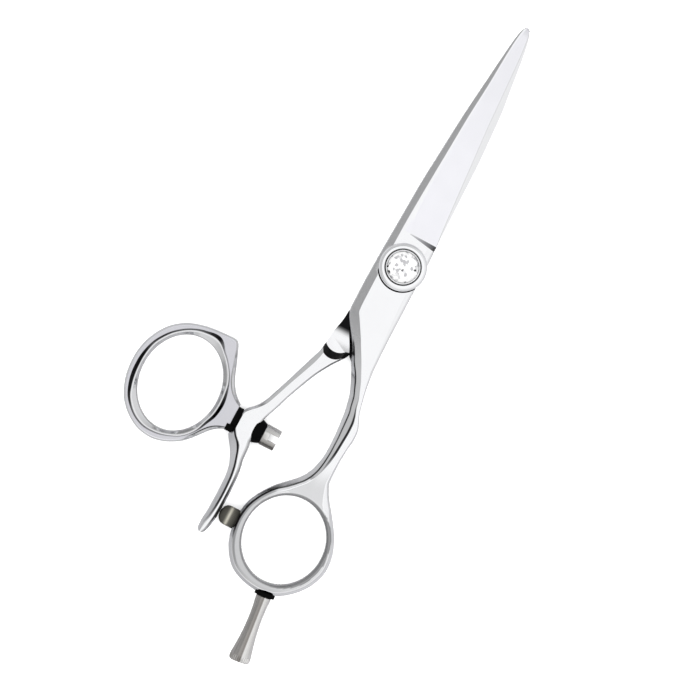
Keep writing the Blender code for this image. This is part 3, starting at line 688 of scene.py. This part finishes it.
def finger_half_bm():
    xs = ([66.5, 66.35, 66.1, 65.8, 65.4, 65.0] + stations(64.2, 9, 1.1) + [8.3, 8.14, 8.10, 8.06] + stations(6.6, -13, 1.4)
          + stations(-13.5, -63, 0.5))
    # painted shadow on the step behind the ground face: the second value sets its darkness
    special = {8.14: (1.0, 0.9, 0.0), 8.10: (0.0, 0.9, 1.1), 8.06: (0.0, 0.0, 1.22)}
    upper = [finger_upper_section(x) for x in xs]
    lower = [finger_lower_section(x, *special.get(x, ())) for x in reversed(xs)]
    bm = new_bm()
    skin(bm, upper + finger_ring_sections() + lower)
    close_up(bm)
    return bm


# Painted shade by X of the lines along the thumb half's low edge and tail ridge, standing in for dark reflections
LOW_LINE_SHADE = [(66, 0), (-24, 0.5), (-26, 0.95), (-30, 0.95), (-33, 0.65), (-38, 0.35), (-45, 0.2), (-55, 0.3), (-62, 0.4),
           (-66, 0.8), (-70, 1), (-76, 1), (-78, 0.65), (-80, 0.35)]
TAIL_LINE_SHADE = [(66, 0), (-53.6, 0), (-54.4, 0.7), (-55, 1), (-72, 1), (-75, 0.75), (-77, 0.45), (-78.5, 0.1), (-80, 0)]


def thumb_section(x, full):
    upper, lower, floor = between(THUMB_UPPER, x), between(THUMB_LOWER, x), between(THUMB_FLOOR, x)
    wide = upper - lower
    if full:
        top = 2 * RIDE_Z - floor
        ridge = between(THUMB_RIDGE, x)
        tail = smooth_step(-x, 53, 57)
        end = smooth_step(-x, 79, 80.6)
        boss = smooth_step(-x, 53.5, 55) * (1 - smooth_step(-x, 57, 59))
        drop = min((0.75 + 0.25 * tail) * (upper - ridge), 2.4)
        low = min(0.32 + 0.12 * tail, 0.25 * wide)
        under = min(1.0, 0.3 * wide)
        # painted shade on the roundings, darker toward the tail's end, and a grey band beside the ridge
        corners = [(lower, top - low * 1.7, 0.2, 0.12, 0.1 + 0.2 * end, 0),
                   (lower + low, top - 0.08, 0.16 + 0.14 * tail, between(LOW_LINE_SHADE, x), 0.02, 0),
                   (ridge, top, 0.06 + 0.26 * tail * (1 - end) + 0.16 * boss, between(TAIL_LINE_SHADE, x),
                    0.10 + 0.10 * tail, 0.1),
                   (upper, top - drop, 0.3, 0.1, 0, 0),
                   (upper, floor + under, 0.4, 0, 0, 0), (upper - under, floor, 0.4, 0, 0, 0),
                   (lower + wide / 2, floor, 0.2, 0, 0, 0),
                   (lower + under, floor, 0.4, 0, 0, 0), (lower, floor + under, 0.4, 0, 0, 0)]
    else:
        top = RIDE_Z - RIDE_GAP
        blade = smooth_step(x, -13, 7.9)
        ground = lower + wide * 0.28 if x > 8 else (upper - 0.9) * (1 - blade) + (lower + wide * 0.28) * blade
        face = (lower + 0.9) * (1 - blade) + (lower + wide * 0.20) * blade
        wall = (floor + 0.7) if x < 8 else top - 0.35
        spine = floor + (0.7 * (1 - blade) + 0.75 * (face - lower) * blade)
        # painted shade: a dark patch on the ride beside the finger half's edge, and a faint grey strip along the blade
        painted_shade_patch = smooth_step(-x, 19.8, 21.9)
        painted_shade_patch = (1 - painted_shade_patch) * smooth_step(-x, 15, 15.8)
        edge = min(upper - 1.0, max(lower + 1.0, between(FINGER_UPPER, x) - 1.2))
        corners = [(lower, top - 0.05, 0.04, 0, 0, 0), (lower + 0.08, top, 0.04, 0, 0.12 * smooth_step(x, 4, 9), 0),
                   (edge, top, 0.05, painted_shade_patch, painted_shade_patch, 0), (upper - 0.30, top, 0.05, painted_shade_patch, painted_shade_patch, 0),
                   (upper, top - 0.05, 0.04, 0, 0, 0),
                   (upper, wall, 0.1, 0, 0.04, 0.1), (ground, floor, 0.2, 0, 0, 0),
                   (face, floor, 0.15, 0.08, 0.1, 1.0), (lower, spine, 0.12, 0.05, 0, 0)]
    return [(x, y, z, shade, gloss) for y, z, shade, gloss in rounded(corners, closed=True)]


def thumb_half_bm():
    flat = ([66.2, 66.0, 65.6, 65.0] + stations(64.2, 9, 1.4) + [8.02, 7.98] + stations(7, -13, 2) + stations(-14, -22.85, 0.45))
    full = (stations(-22.95, -46, 0.6) + stations(-46.4, -55.2, 0.35) + [-55.45, -55.5, -55.55, -55.62, -55.8]
            + stations(-56.1, -79, 0.6) + [-79.4, -79.8, -80.1, -80.35, -80.55, -80.7])
    bm = new_bm()
    skin(bm, [thumb_section(x, False) for x in flat] + [thumb_section(x, True) for x in full], ring=True)
    close_up(bm)
    return bm


def relief_bm():
    """The slanting crescent wall where the thumb half steps down to its ride."""
    low = RIDE_Z - RIDE_GAP + 0.002
    sections = []
    for z, x, y, r, foot in ((low, -22.5, 5.5, 3.65, -24.7), (5.9, -24.9, 5.7, 3.4, -27.0), (8, -24.9, 5.7, 3.4, -27.0)):
        arc = [(x + r * math.cos(a), y + r * math.sin(a)) for a in (math.radians(90 + 2 * k) for k in range(70))]
        sections.append([(px, py, z, 0, 0) for px, py in arc + [(foot, 1.8), (foot, -0.6), (-19, -0.6), (-19, 9.15)]])
    bm = new_bm()
    skin(bm, sections, ring=True)
    close_up(bm)
    return bm


def thumb_ring_bm():
    """A bead round the opening, a valley outside it painted dark as shade, and a lower flange that runs into the neck
    and the horn, painted grey.
    """
    line = through(THUMB_RING_OUTER, 5, closed=True)
    (cx, cy), (ax, ay) = THUMB_RING, THUMB_OPENING
    sections = []
    for point in line:
        turn = math.atan2(point.y - cy, point.x - cx)
        reach = 1 / math.hypot(math.cos(turn) / ax, math.sin(turn) / ay)
        inner = Vector((cx + reach * math.cos(turn), cy + reach * math.sin(turn)))
        wide = (point - inner).length
        way = (point - inner) / wide
        deg = math.degrees(turn) % 360
        valley, broad, valley_shade = between(VALLEY, deg), between(VALLEY_WIDTH, deg), between(VALLEY_SHADE, deg)
        chamfer_shade = between(CHAMFER_LINE_SHADE, deg)
        top = RIDE_Z + RING_HALF - 0.03
        step = 0.35 + 0.35 * valley_shade
        flange = top - step - 0.05
        rim = 0.45 + 0.4 * smooth_step(chamfer_shade, 0.1, 0.6)
        crest = valley - broad / 2 - 0.05
        fall = valley + broad / 2
        chain = [(0, top - 1.9, 0, 0, 0.2, 0), (0.05, top - 1.0, 0.25, 0.2, 0.15, 0),
                 (max(0.5, crest - 0.32), top - 0.10, 0.22, 0.12, 0.14, 0), (crest, top - 0.04, 0.08, 0.3 * valley_shade, valley_shade, 0),
                 (fall, flange, 0.08, valley_shade, 0.3, -0.7),
                 (max(fall + 0.3, wide - rim), flange - 0.14, 0.18, chamfer_shade, 0.16, 0), (wide, flange - 0.9, 0.35, 0.1, 0, 0)]
        mirror = [(u, 2 * RIDE_Z - z, r, 0, 0, 0) for u, z, r, d, f, s in reversed(chain)]
        sections.append([(inner.x + way.x * u, inner.y + way.y * u, z, shade, gloss)
                         for u, z, shade, gloss in rounded(chain + mirror, closed=True)])
    bm = new_bm()
    skin(bm, sections + [sections[0]], ring=True)
    close_up(bm)
    return bm


# Painted highlight and shade up the bumper by Y: a bright band where a light strip reflects, dark toward its top and
# foot
BUMPER_SHADE = [(7.3, 0.98), (7.9, 0.92), (8.3, 0.88), (9.0, 0.74), (9.25, 0.3), (9.55, 0), (9.85, 0.45),
                (10.3, 0.87), (11.5, 0.9), (11.8, 0.96), (12, 0.98)]


def rest_matrix():
    tilt = math.radians(6.2)
    turn = Vector((-math.cos(tilt), -math.sin(tilt), 0)).to_track_quat("Z", "Y").to_matrix().to_4x4()
    return Matrix.Translation((-86.45, -7.15, RIDE_Z)) @ turn


def on_rest(bm):
    bmesh.ops.transform(bm, matrix=rest_matrix(), verts=bm.verts)
    return bm


def rod(r, z0, z1):
    return [(0, z0), (r, z0), (r, z1), (0, z1)]


def tube(r_in, r_out, z0, z1):
    return [(r_in, z0), (r_out, z0), (r_out, z1), (r_in, z1)]


# ---------------------------------------------------------------- settings

class SteelSettings(bpy.types.PropertyGroup):
    tint: bpy.props.FloatVectorProperty(name="Steel tint", description="Reflected colour of the polished steel",
                                        subtype="COLOR", size=3, min=0, max=1, default=(0.90, 0.905, 0.92))
    polish: bpy.props.FloatProperty(name="Polish", description="Roughness of the mirror-polished steel",
                                    min=0, max=1, default=0.05)
    satin: bpy.props.FloatProperty(name="Satin", description="Roughness added on the satin spine bevel",
                                   min=0, max=1, default=0.26)


class FittingSettings(bpy.types.PropertyGroup):
    nickel: bpy.props.FloatVectorProperty(name="Nickel", description="Colour of the turned nickel fittings",
                                          subtype="COLOR", size=3, min=0, max=1, default=(0.76, 0.752, 0.742))
    bumper: bpy.props.FloatVectorProperty(name="Bumper", description="Colour of the stop bumper",
                                          subtype="COLOR", size=3, min=0, max=1, default=(0.25, 0.24, 0.205))
    ribs: bpy.props.IntProperty(name="Ribs", description="Ribs round the stop bumper", min=8, max=80, default=36)


class StudioSettings(bpy.types.PropertyGroup):
    distance: bpy.props.FloatProperty(name="Camera distance", description="Height of the camera above the shears",
                                      unit="LENGTH", min=0.3, max=3, default=0.9)
    view_width: bpy.props.FloatProperty(name="View width", description="Width of the view at the shears",
                                        unit="LENGTH", min=0.1, max=1, default=0.1722)
    floor: bpy.props.FloatVectorProperty(name="Floor", description="Colour of the floor", subtype="COLOR", size=3,
                                         min=0, max=1, default=(0.93, 0.93, 0.93))


LOOKS = {}


def look(key):
    """The shared finishes, each made once."""
    if key in LOOKS:
        return LOOKS[key]
    steel = bpy.context.scene.shears_steel
    fittings = bpy.context.scene.shears_fittings
    tint, nickel = tuple(steel.tint), tuple(fittings.nickel)
    if key == "steel":
        made = mirror_steel("mirror_polished_steel", tint, steel.polish, steel.satin)
    elif key == "recess":
        # painted shade: near-black steel for the relief wall and the crescent round the dial, where only shade and dark
        # reflections fall
        made, graph, shader = finish("shadowed_step", metallic=1.0, roughness=0.35)
        cloud = graph.noise(graph.place(), 900, 2)
        graph.put(shader.inputs["Base Color"], graph.mix(cloud, (0.004, 0.004, 0.004, 1), (0.02, 0.02, 0.021, 1)))
    elif key == "chrome":
        made, graph, shader = finish("bright_chrome", metallic=1.0)
        cloud = graph.noise(graph.place(), 400, 3)
        # painted shade: ambient occlusion darkens the chrome in crevices
        crease_shade = graph.node("ShaderNodeAmbientOcclusion", {"samples": 8}, {"Distance": 0.0008}, output="AO")
        graph.put(shader.inputs["Base Color"], graph.mix(graph.step(crease_shade, 0.1, 0.7), (0.02, 0.02, 0.022, 1),
                                                         (0.93, 0.935, 0.95, 1)))
        graph.put(shader.inputs["Roughness"], 0.03 + 0.04 * cloud)
    elif key == "nickel":
        made, graph, shader = finish("turned_nickel", metallic=1.0)
        rings = graph.noise(graph.place(scale=(1, 0.02, 0.02)), 9000, 3, 0.6)
        cloud = graph.noise(graph.place(), 500, 3)
        base = graph.mix(cloud, (*[c * 0.9 for c in nickel], 1), (*nickel, 1))
        # the shade layer paints shade and dark reflections in a brownish dark
        graph.put(shader.inputs["Base Color"], graph.mix(graph.layer("shade"), base, (0.06, 0.042, 0.025, 1)))
        graph.put(shader.inputs["Roughness"], 0.16 + 0.14 * rings)
        bump(graph, shader, rings, 0.12, 0.00003)
    elif key == "nylon":
        made, graph, shader = finish("black_nylon", constants={"Specular IOR Level": 0.03})
        cloud = graph.noise(graph.place(), 1200, 3)
        graph.put(shader.inputs["Base Color"], graph.mix(cloud, (0.0004, 0.0004, 0.0004, 1), (0.0012, 0.0012, 0.0013, 1)))
        graph.put(shader.inputs["Roughness"], 0.45 + 0.12 * cloud)
    elif key == "rubber":
        made, graph, shader = finish("olive_grey_rubber", constants={"Specular IOR Level": 0.1})
        grain = graph.noise(graph.place(), 5000, 3, 0.6)
        base = tuple(fittings.bumper)
        tone = graph.mix(grain, (*[c * 0.8 for c in base], 1), (*base, 1))
        # the shade layer paints the bumper's highlight and shade
        graph.put(shader.inputs["Base Color"], graph.mix(graph.layer("shade"), tone, (0.004, 0.004, 0.003, 1)))
        graph.put(shader.inputs["Roughness"], 0.5 + 0.2 * grain)
        bump(graph, shader, grain, 0.12, 0.00003)
    elif key == "crystal":
        made, graph, shader = finish("cut_crystal", roughness=0.0,
                                     constants={"Transmission Weight": 0.35, "IOR": 1.6})
        # painted reflections: random cells grey as facet reflections and a few near-black as dark glints
        cells = graph.node("ShaderNodeTexVoronoi", {}, {"Vector": graph.place(), "Scale": 1500.0}, output="Color")
        pick = graph.node("ShaderNodeSeparateColor", {}, {0: cells}, output="Red")
        faint = graph.mix(graph.step(pick, 0.55, 0.9), (0.62, 0.62, 0.62, 1), (0.30, 0.30, 0.31, 1))
        graph.put(shader.inputs["Base Color"], graph.mix(graph.step(pick, 0.945, 0.95), faint, (0.01, 0.01, 0.012, 1)))
    elif key == "foil":
        made, graph, shader = finish("stone_backing", metallic=1.0)
        cells = graph.node("ShaderNodeTexVoronoi", {}, {"Vector": graph.place(), "Scale": 900.0}, output="Color")
        graph.put(shader.inputs["Base Color"], graph.mix(0.12, (0.95, 0.95, 0.97, 1), cells))
        graph.put(shader.inputs["Roughness"], 0.06 + 0.1 * graph.noise(graph.place(), 700, 2))
    elif key == "polymer":
        made, graph, shader = finish("white_polymer")
        cloud = graph.noise(graph.place(), 900, 3)
        graph.put(shader.inputs["Base Color"], graph.mix(cloud, (0.30, 0.297, 0.28, 1), (0.36, 0.357, 0.34, 1)))
        graph.put(shader.inputs["Roughness"], 0.4 + 0.15 * cloud)
    else:
        made, graph, shader = finish("sintered_bronze", metallic=1.0)
        grain = graph.noise(graph.place(), 7000, 3)
        graph.put(shader.inputs["Base Color"], graph.mix(grain, (0.45, 0.29, 0.14, 1), (0.62, 0.42, 0.22, 1)))
        graph.put(shader.inputs["Roughness"], 0.3 + 0.2 * grain)
    LOOKS[key] = made
    return made


# ---------------------------------------------------------------- pieces

class SHEARS_OT_finger_half(bpy.types.Operator):
    """Forged upper half with its blade, shank and finger ring"""
    bl_idname = "shears.finger_half"
    bl_label = "Finger half"

    def execute(self, context):
        piece = as_object("finger_half_steel", finger_half_bm(), [look("steel"), look("recess")])
        bore = turned(rod(1.93, 2, 9), 64)
        recess = turned(rod(4.63, 2.5, RIDE_Z + 0.30), 64)
        stud = along_y(turned(rod(1.03, 5.95, 9.5), 32), (-74.0, 0, RIDE_Z))
        hole = on_rest(turned(rod(1.23, -2.1, 2.5), 32))
        seat = on_rest(turned(rod(2.9, 0, 2.5), 64))
        opening = lip_cutter(1.1)
        # an off-centre seat round the dial whose walls take the near-black finish: a painted dark crescent
        dial_seat = turned(rod(6.12, 5.55, 9), 96)
        bmesh.ops.translate(dial_seat, vec=(-0.2, 0.03, 0), verts=dial_seat.verts)
        cut(piece, [(bm, [look("steel")]) for bm in (opening, bore, recess, stud, hole, seat)]
            + [(dial_seat, [look("recess")])])
        refill(piece, lip_tone)
        settle(piece, "finger_half", ["finger_blade"])
        return {"FINISHED"}


class SHEARS_OT_thumb_half(bpy.types.Operator):
    """Forged lower half with its blade, shank, swivel boss and tail"""
    bl_idname = "shears.thumb_half"
    bl_label = "Thumb half"

    def execute(self, context):
        piece = as_object("thumb_half_steel", thumb_half_bm(), [look("steel"), look("recess")])
        bore = turned(rod(2.73, 0.1, 6), 64)
        head = turned(rod(4.38, -1, 0.95), 64)
        swivel = along_y(turned(rod(2.13, 8, 22), 48), (SWIVEL_X, 0, RIDE_Z))
        seat = along_y(turned([(0, 8.0), (3.32, 8.0), (3.32, 13.5), (2.95, 13.95), (2.0, 14.28), (0, 14.4)], 64),
                       (SWIVEL_X, 0, RIDE_Z))
        # the relief's crescent wall takes the near-black finish as painted shade; its floor goes back to steel below
        cut(piece, [(bm, [look("steel")]) for bm in (bore, head, swivel, seat)] + [(relief_bm(), [look("recess")])])
        dark = list(piece.data.materials).index(look("recess"))
        steel = list(piece.data.materials).index(look("steel"))
        for face in piece.data.polygons:
            if face.material_index == dark and abs(face.normal.z) > 0.9:
                face.material_index = steel
        settle(piece, "thumb_half", ["thumb_blade"], 30)
        return {"FINISHED"}


class SHEARS_OT_thumb_ring(bpy.types.Operator):
    """Swivelling thumb ring with its neck and horn"""
    bl_idname = "shears.thumb_ring"
    bl_label = "Thumb ring"

    def execute(self, context):
        piece = as_object("thumb_ring_steel", thumb_ring_bm(), [look("steel")])
        socket = along_y(turned(rod(1.42, 18, 22.65), 32), (SWIVEL_X, 0, RIDE_Z))
        foot = box((20, 3, 20), (SWIVEL_X, 18.25, RIDE_Z))
        cut(piece, [(socket, [look("steel")]), (foot, [look("steel")])])
        # points made by the cut get the flange's painted shade and ground grain
        refill(piece, lambda co: (0.3, -0.7) if abs(co.y - 19.75) < 0.001 and co.z > RIDE_Z else None)
        settle(piece, "thumb_swivel", ["thumb_ring"])
        return {"FINISHED"}


class SHEARS_OT_dial(bpy.types.Operator):
    """Tension dial with its bezel, foil and cut stone"""
    bl_idname = "shears.dial"
    bl_label = "Tension dial and stone"

    def execute(self, context):
        dial = turned([(1.93, 6.80), (4.80, 6.80), (4.80, 6.22), (5.75, 6.22), (5.95, 6.42), (5.95, 7.35),
                       (5.60, 7.80), (5.15, 8.05), (4.56, 8.05), (4.56, 7.42), (1.93, 7.42)], 144)
        soften(dial, 0.09, 20, 3)
        piece = as_object("tension_dial_chrome", dial, [look("chrome")])
        settle(piece, "dial", ["tension_dial"], 45)
        bezel = turned([(1.2, 7.45), (4.27, 7.45), (4.29, 8.20), (4.23, 8.48), (4.08, 8.56), (3.93, 8.42),
                        (3.93, 7.72), (1.2, 7.72)], 128)
        soften(bezel, 0.05, 20, 3)
        piece = as_object("stone_bezel", bezel, [look("chrome")])
        settle(piece, "dial", ["crystal_bezel"], 45)
        piece = as_object("stone_foil", turned(rod(3.75, 7.745, 7.815), 96), [look("foil")])
        settle(piece, "dial", ["crystal_foil"])
        piece = as_object("cut_stone", stone_bm(), [look("crystal")])
        settle(piece, "dial", ["crystal"], 1)
        return {"FINISHED"}


def stone_bm():
    """A flat-backed round stone: table, star, kite and girdle facets, from the hull of its corners."""
    bm = bmesh.new()

    def ring(radius, z, count, shift):
        for k in range(count):
            turn = 2 * math.pi * (k + shift) / count
            bm.verts.new((radius * math.cos(turn), radius * math.sin(turn), z))

    ring(3.77, 7.84, 32, 0)
    ring(3.88, 8.00, 32, 0)
    ring(3.88, 8.24, 32, 0)
    ring(3.25, 8.80, 16, 0.5)
    ring(2.62, 9.20, 8, 0)
    ring(1.86, 9.44, 8, 0.5)
    bmesh.ops.convex_hull(bm, input=bm.verts)
    bmesh.ops.dissolve_limit(bm, angle_limit=math.radians(0.6), verts=bm.verts, edges=bm.edges)
    return bm


class SHEARS_OT_swivel_fittings(bpy.types.Operator):
    """Washers, slotted nut, pin and bush of the swivel"""
    bl_idname = "shears.swivel_fittings"
    bl_label = "Swivel fittings"

    def execute(self, context):
        at = (SWIVEL_X, 0, RIDE_Z)
        washer = along_y(turned(tube(1.43, 3.25, 18.34, 19.74), 96), at)
        soften(washer, 0.07)
        piece = as_object("boss_washer", washer, [look("nylon")])
        lug = box((1.7, 1.9, 1.0), (SWIVEL_X - 2.5, 19.55, RIDE_Z + 2.55))
        soften(lug, 0.08)
        cut(piece, [(lug, [look("nylon")])], "UNION")
        settle(piece, "thumb_swivel", ["inner_swivel_washer"])
        dome = [(1.43, 11.43), (2.5, 11.43), (2.62, 11.52), (3.2, 13.1), (3.2, 13.42), (2.85, 13.84), (2.25, 14.03), (1.43, 14.03)]
        washer = along_y(turned(dome, 96), at)
        soften(washer, 0.06, 35)
        settle(as_object("domed_washer", washer, [look("nylon")]), "thumb_swivel", ["outer_swivel_washer"])
        nut = along_y(turned(tube(1.42, 2.72, 7.50, 11.40), 96), at)
        soften(nut, 0.22)
        # painted shade: the nut darker toward its -X side
        paint(nut, lambda co: (0.76 - 0.36 * smooth_step(co.x, SWIVEL_X - 2.7, SWIVEL_X - 0.9)
                               - 0.40 * smooth_step(co.x, SWIVEL_X - 0.4, SWIVEL_X + 1.2), 0))
        piece = as_object("slotted_nut", nut, [look("nickel")])
        slot = box((1.85, 4.6, 12), (SWIVEL_X, 7.5, RIDE_Z))
        cut(piece, [(slot, [look("nickel")])])
        settle(piece, "thumb_swivel", ["swivel_nut"])
        pin = along_y(turned(rod(1.40, 9.90, 22.60), 64), at)
        soften(pin, 0.15)
        settle(as_object("swivel_shaft", pin, [look("nickel")]), "thumb_swivel", ["swivel_pin"])
        return {"FINISHED"}


class SHEARS_OT_stop_bumper(bpy.types.Operator):
    """Ribbed stop bumper on the finger ring"""
    bl_idname = "shears.stop_bumper"
    bl_label = "Stop bumper"

    def execute(self, context):
        ribs = context.scene.shears_fittings.ribs
        r, y0, y1 = 2.48, 7.45, 12.05
        arc = [(r * math.cos(a), y1 - 2.0 + 2.0 * math.sin(a)) for a in (math.radians(9 * k) for k in range(10))]
        profile = [(0, y0), (r - 0.25, y0), (r, y0 + 0.2), (r, 8.3), (r, 8.7), (r, 9.0), (r, 9.25), (r, 9.55),
                   (r, 9.85), *arc[:-1], (0, y1)]
        bm = turned(profile, ribs * 4)
        for vert in bm.verts:
            radius = math.hypot(vert.co.x, vert.co.y)
            if radius > 0.8:
                wave = 0.5 + 0.5 * math.cos(ribs * math.atan2(vert.co.y, vert.co.x))
                fade = smooth_step(radius, 0.8, 2.2)
                bmesh.ops.scale(bm, vec=(1 - 0.035 * wave * fade,) * 2 + (1,), verts=[vert])
        along_y(bm, (-74.0, 0, RIDE_Z))
        # painted highlight and shade, full on the upward face and a plain dark elsewhere
        paint(bm, lambda co: (0.9 + (between(BUMPER_SHADE, co.y) - 0.9)
                              * smooth_step(co.z, RIDE_Z, RIDE_Z + 1.4), 0))
        piece = as_object("ribbed_bumper", bm, [look("rubber")])
        hole = along_y(turned(rod(1.03, y0 - 1, 10.7), 32), (-74.0, 0, RIDE_Z))
        cut(piece, [(hole, [look("rubber")])])
        settle(piece, "finger_half", ["stop_bumper"], 60)
        return {"FINISHED"}


class SHEARS_OT_finger_rest(bpy.types.Operator):
    """Turned finger rest with its knurled end and washer"""
    bl_idname = "shears.finger_rest"
    bl_label = "Finger rest"

    def execute(self, context):
        end = 18.3
        line = through([(1.9, 1.3), (1.85, 2.4), (1.72, 4.2), (1.68, 6.8), (1.78, 9.6), (2.05, 12.6), (2.42, 15.2),
     (2.66, 16.5)], 4)
        profile = [(0, -2.0), (1.05, -2.0), (1.2, -1.85), (1.2, 1.06), (1.75, 1.06), *[tuple(p) for p in line],
                   (2.60, 16.62), (2.60, 16.72), (2.70, 16.84), (2.70, end - 0.75), (2.58, end - 0.3), (2.2, end),
                   (0, end)]
        bm = turned(profile, 192)
        for vert in bm.verts:
            if 16.8 < vert.co.z < end - 0.25:
                wave = 0.5 + 0.5 * math.cos(32 * math.atan2(vert.co.y, vert.co.x))
                bmesh.ops.scale(bm, vec=(1 - 0.06 * wave,) * 2 + (1,), verts=[vert])
        on_rest(bm)
        across = rest_matrix().to_3x3() @ Vector((0, 0, 1))

        # painted reflection: the rest's +Y side darker and browner, its -Y side plain
        def tone(co):
            beside = (co - rest_matrix().translation).dot(Vector((across.y, -across.x, 0)))
            return (0.72 - 0.26 * smooth_step(beside, -0.3, 1.3)) * smooth_step(beside, -0.5, -0.2), 0

        paint(bm, tone)
        piece = as_object("turned_rest", bm, [look("nickel")])
        settle(piece, "finger_half", ["finger_rest"], 40)
        washer = turned(tube(1.25, 2.55, 0.03, 1.03), 96)
        soften(washer, 0.05)
        piece = as_object("rest_washer", on_rest(washer), [look("nylon")])
        settle(piece, "finger_half", ["finger_rest_washer"])
        return {"FINISHED"}


class SHEARS_OT_hidden_parts(bpy.types.Operator):
    """Finishes of the screw, bushes, washers, spring and stud that the frame already shapes"""
    bl_idname = "shears.hidden_parts"
    bl_label = "Inner parts"

    def execute(self, context):
        for node, key in {"pivot_screw": "chrome", "dial_washer": "chrome", "tension_spring": "chrome",
                          "bumper_stud": "chrome", "pivot_bush": "polymer", "ride_washer": "polymer",
                          "swivel_bush": "bronze"}.items():
            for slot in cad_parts[node].material_slots:
                slot.material = look(key)
        return {"FINISHED"}


# ---------------------------------------------------------------- studio

class SHEARS_OT_studio(bpy.types.Operator):
    """Pale floor, soft surrounding light and the camera above the shears"""
    bl_idname = "shears.studio"
    bl_label = "Studio"

    def execute(self, context):
        settings = context.scene.shears_studio
        floor_bm = bmesh.new()
        bmesh.ops.create_grid(floor_bm, x_segments=1, y_segments=1, size=4000)
        bmesh.ops.translate(floor_bm, vec=(0, 0, -0.02), verts=floor_bm.verts)
        made, graph, shader = finish("pale_floor", tuple(settings.floor), roughness=0.9,
                                     constants={"Specular IOR Level": 0.0})
        cloud = graph.noise(graph.place(), 3, 2)
        tone = tuple(settings.floor)
        # painted reflection: the floor turns grey where it is seen in reflections, plain pale elsewhere
        mirrored = graph.node("ShaderNodeLightPath", output="Is Glossy Ray")
        plain = graph.mix(cloud, (*[c * 0.995 for c in tone], 1), (*tone, 1))
        graph.put(shader.inputs["Base Color"], graph.mix(mirrored, plain, (0.26, 0.26, 0.265, 1)))
        as_object("floor", floor_bm, [made])
        self.surroundings(context)
        self.camera(context, settings)
        return {"FINISHED"}

    def surroundings(self, context):
        """A light tent: white above, a dark gap part way down and a grey wall on the thumb ring's side."""
        world = bpy.data.worlds.new("light_tent")
        context.scene.world = world
        graph = Graph(world)
        ray = graph.node("ShaderNodeTexCoord", output="Generated")
        axis = {"x": 0, "y": 1, "z": 2}
        x, y, z = (graph.node("ShaderNodeSeparateXYZ", {}, {0: ray}, output=k) for k in axis.values())
        down = graph.node("ShaderNodeMath", {"operation": "ARCCOSINE"}, {0: z}) * (180 / math.pi)
        flat = (x * x + y * y + 0.0001) ** 0.5
        side = (0.94 * y + 0.34 * x) / flat
        dark_side = graph.step(side, -0.45, 0.70)
        wall = graph.step(down, 52, 62)
        level = (1 - wall) * 1.03 + wall * (0.84 - 0.26 * dark_side)
        gap = graph.step(down, 30, 40) * (1 - graph.step(down, 52, 62)) * (0.06 + 0.44 * dark_side)
        horizon = graph.step(down, 80, 87) * (1 - graph.step(down, 93, 98)) * (0.25 + 0.3 * dark_side)
        level = level * (1 - gap) * (1 - horizon)
        path = graph.node("ShaderNodeLightPath", output="Is Glossy Ray")
        strength = path * level + (1 - path) * 2.5
        back = graph.tree.nodes["Background"]
        back.inputs["Color"].default_value = (1.0, 1.0, 1.0, 1)
        graph.put(back.inputs["Strength"], strength)
        lamp = bpy.data.lights.new("overhead_softbox", "AREA")
        lamp.shape, lamp.size, lamp.energy = "DISK", 0.9, 3.0
        hung = bpy.data.objects.new("overhead_softbox", lamp)
        hung.location = (0.1, -0.35, 0.9)
        hung.rotation_euler = (Vector((-0.02, 0, 0)) - Vector(hung.location)).to_track_quat("-Z", "Y").to_euler()
        hung.visible_glossy = False
        context.scene.collection.objects.link(hung)

    def camera(self, context, settings):
        data = bpy.data.cameras.new("camera")
        data.sensor_width = 36
        data.lens = 36 * settings.distance / settings.view_width
        data.clip_start, data.clip_end = 0.01, 20
        made = bpy.data.objects.new("camera", data)
        made.location = (-0.0240, 0.0021, settings.distance + 0.004)
        made.rotation_euler = (0, 0, math.radians(-62.34))
        context.scene.collection.objects.link(made)
        context.scene.camera = made
        context.scene.view_settings.view_transform = "Standard"


class SHEARS_PT_panel(bpy.types.Panel):
    """Lists the builders in the sidebar"""
    bl_idname = "SHEARS_PT_panel"
    bl_label = "Shears"
    bl_space_type = "VIEW_3D"
    bl_region_type = "UI"
    bl_category = "Shears"

    def draw(self, context):
        scene = context.scene
        for group in (scene.shears_steel, scene.shears_fittings, scene.shears_studio):
            for name in group.__annotations__:
                self.layout.prop(group, name)
        for operator in BUILDERS:
            self.layout.operator(operator.bl_idname)


BUILDERS = (SHEARS_OT_finger_half, SHEARS_OT_thumb_half, SHEARS_OT_thumb_ring, SHEARS_OT_dial,
            SHEARS_OT_swivel_fittings, SHEARS_OT_stop_bumper, SHEARS_OT_finger_rest, SHEARS_OT_hidden_parts,
            SHEARS_OT_studio)
CLASSES = (SteelSettings, FittingSettings, StudioSettings, *BUILDERS, SHEARS_PT_panel)


def register():
    for cls in CLASSES:
        bpy.utils.register_class(cls)
    bpy.types.Scene.shears_steel = bpy.props.PointerProperty(type=SteelSettings)
    bpy.types.Scene.shears_fittings = bpy.props.PointerProperty(type=FittingSettings)
    bpy.types.Scene.shears_studio = bpy.props.PointerProperty(type=StudioSettings)


def unregister():
    del bpy.types.Scene.shears_steel, bpy.types.Scene.shears_fittings, bpy.types.Scene.shears_studio
    for cls in reversed(CLASSES):
        bpy.utils.unregister_class(cls)


def main():
    register()
    bpy.ops.shears.finger_half()
    bpy.ops.shears.thumb_half()
    bpy.ops.shears.thumb_ring()
    bpy.ops.shears.dial()
    bpy.ops.shears.swivel_fittings()
    bpy.ops.shears.stop_bumper()
    bpy.ops.shears.finger_rest()
    bpy.ops.shears.hidden_parts()
    bpy.ops.shears.studio()


if __name__ == "__main__":
    main()
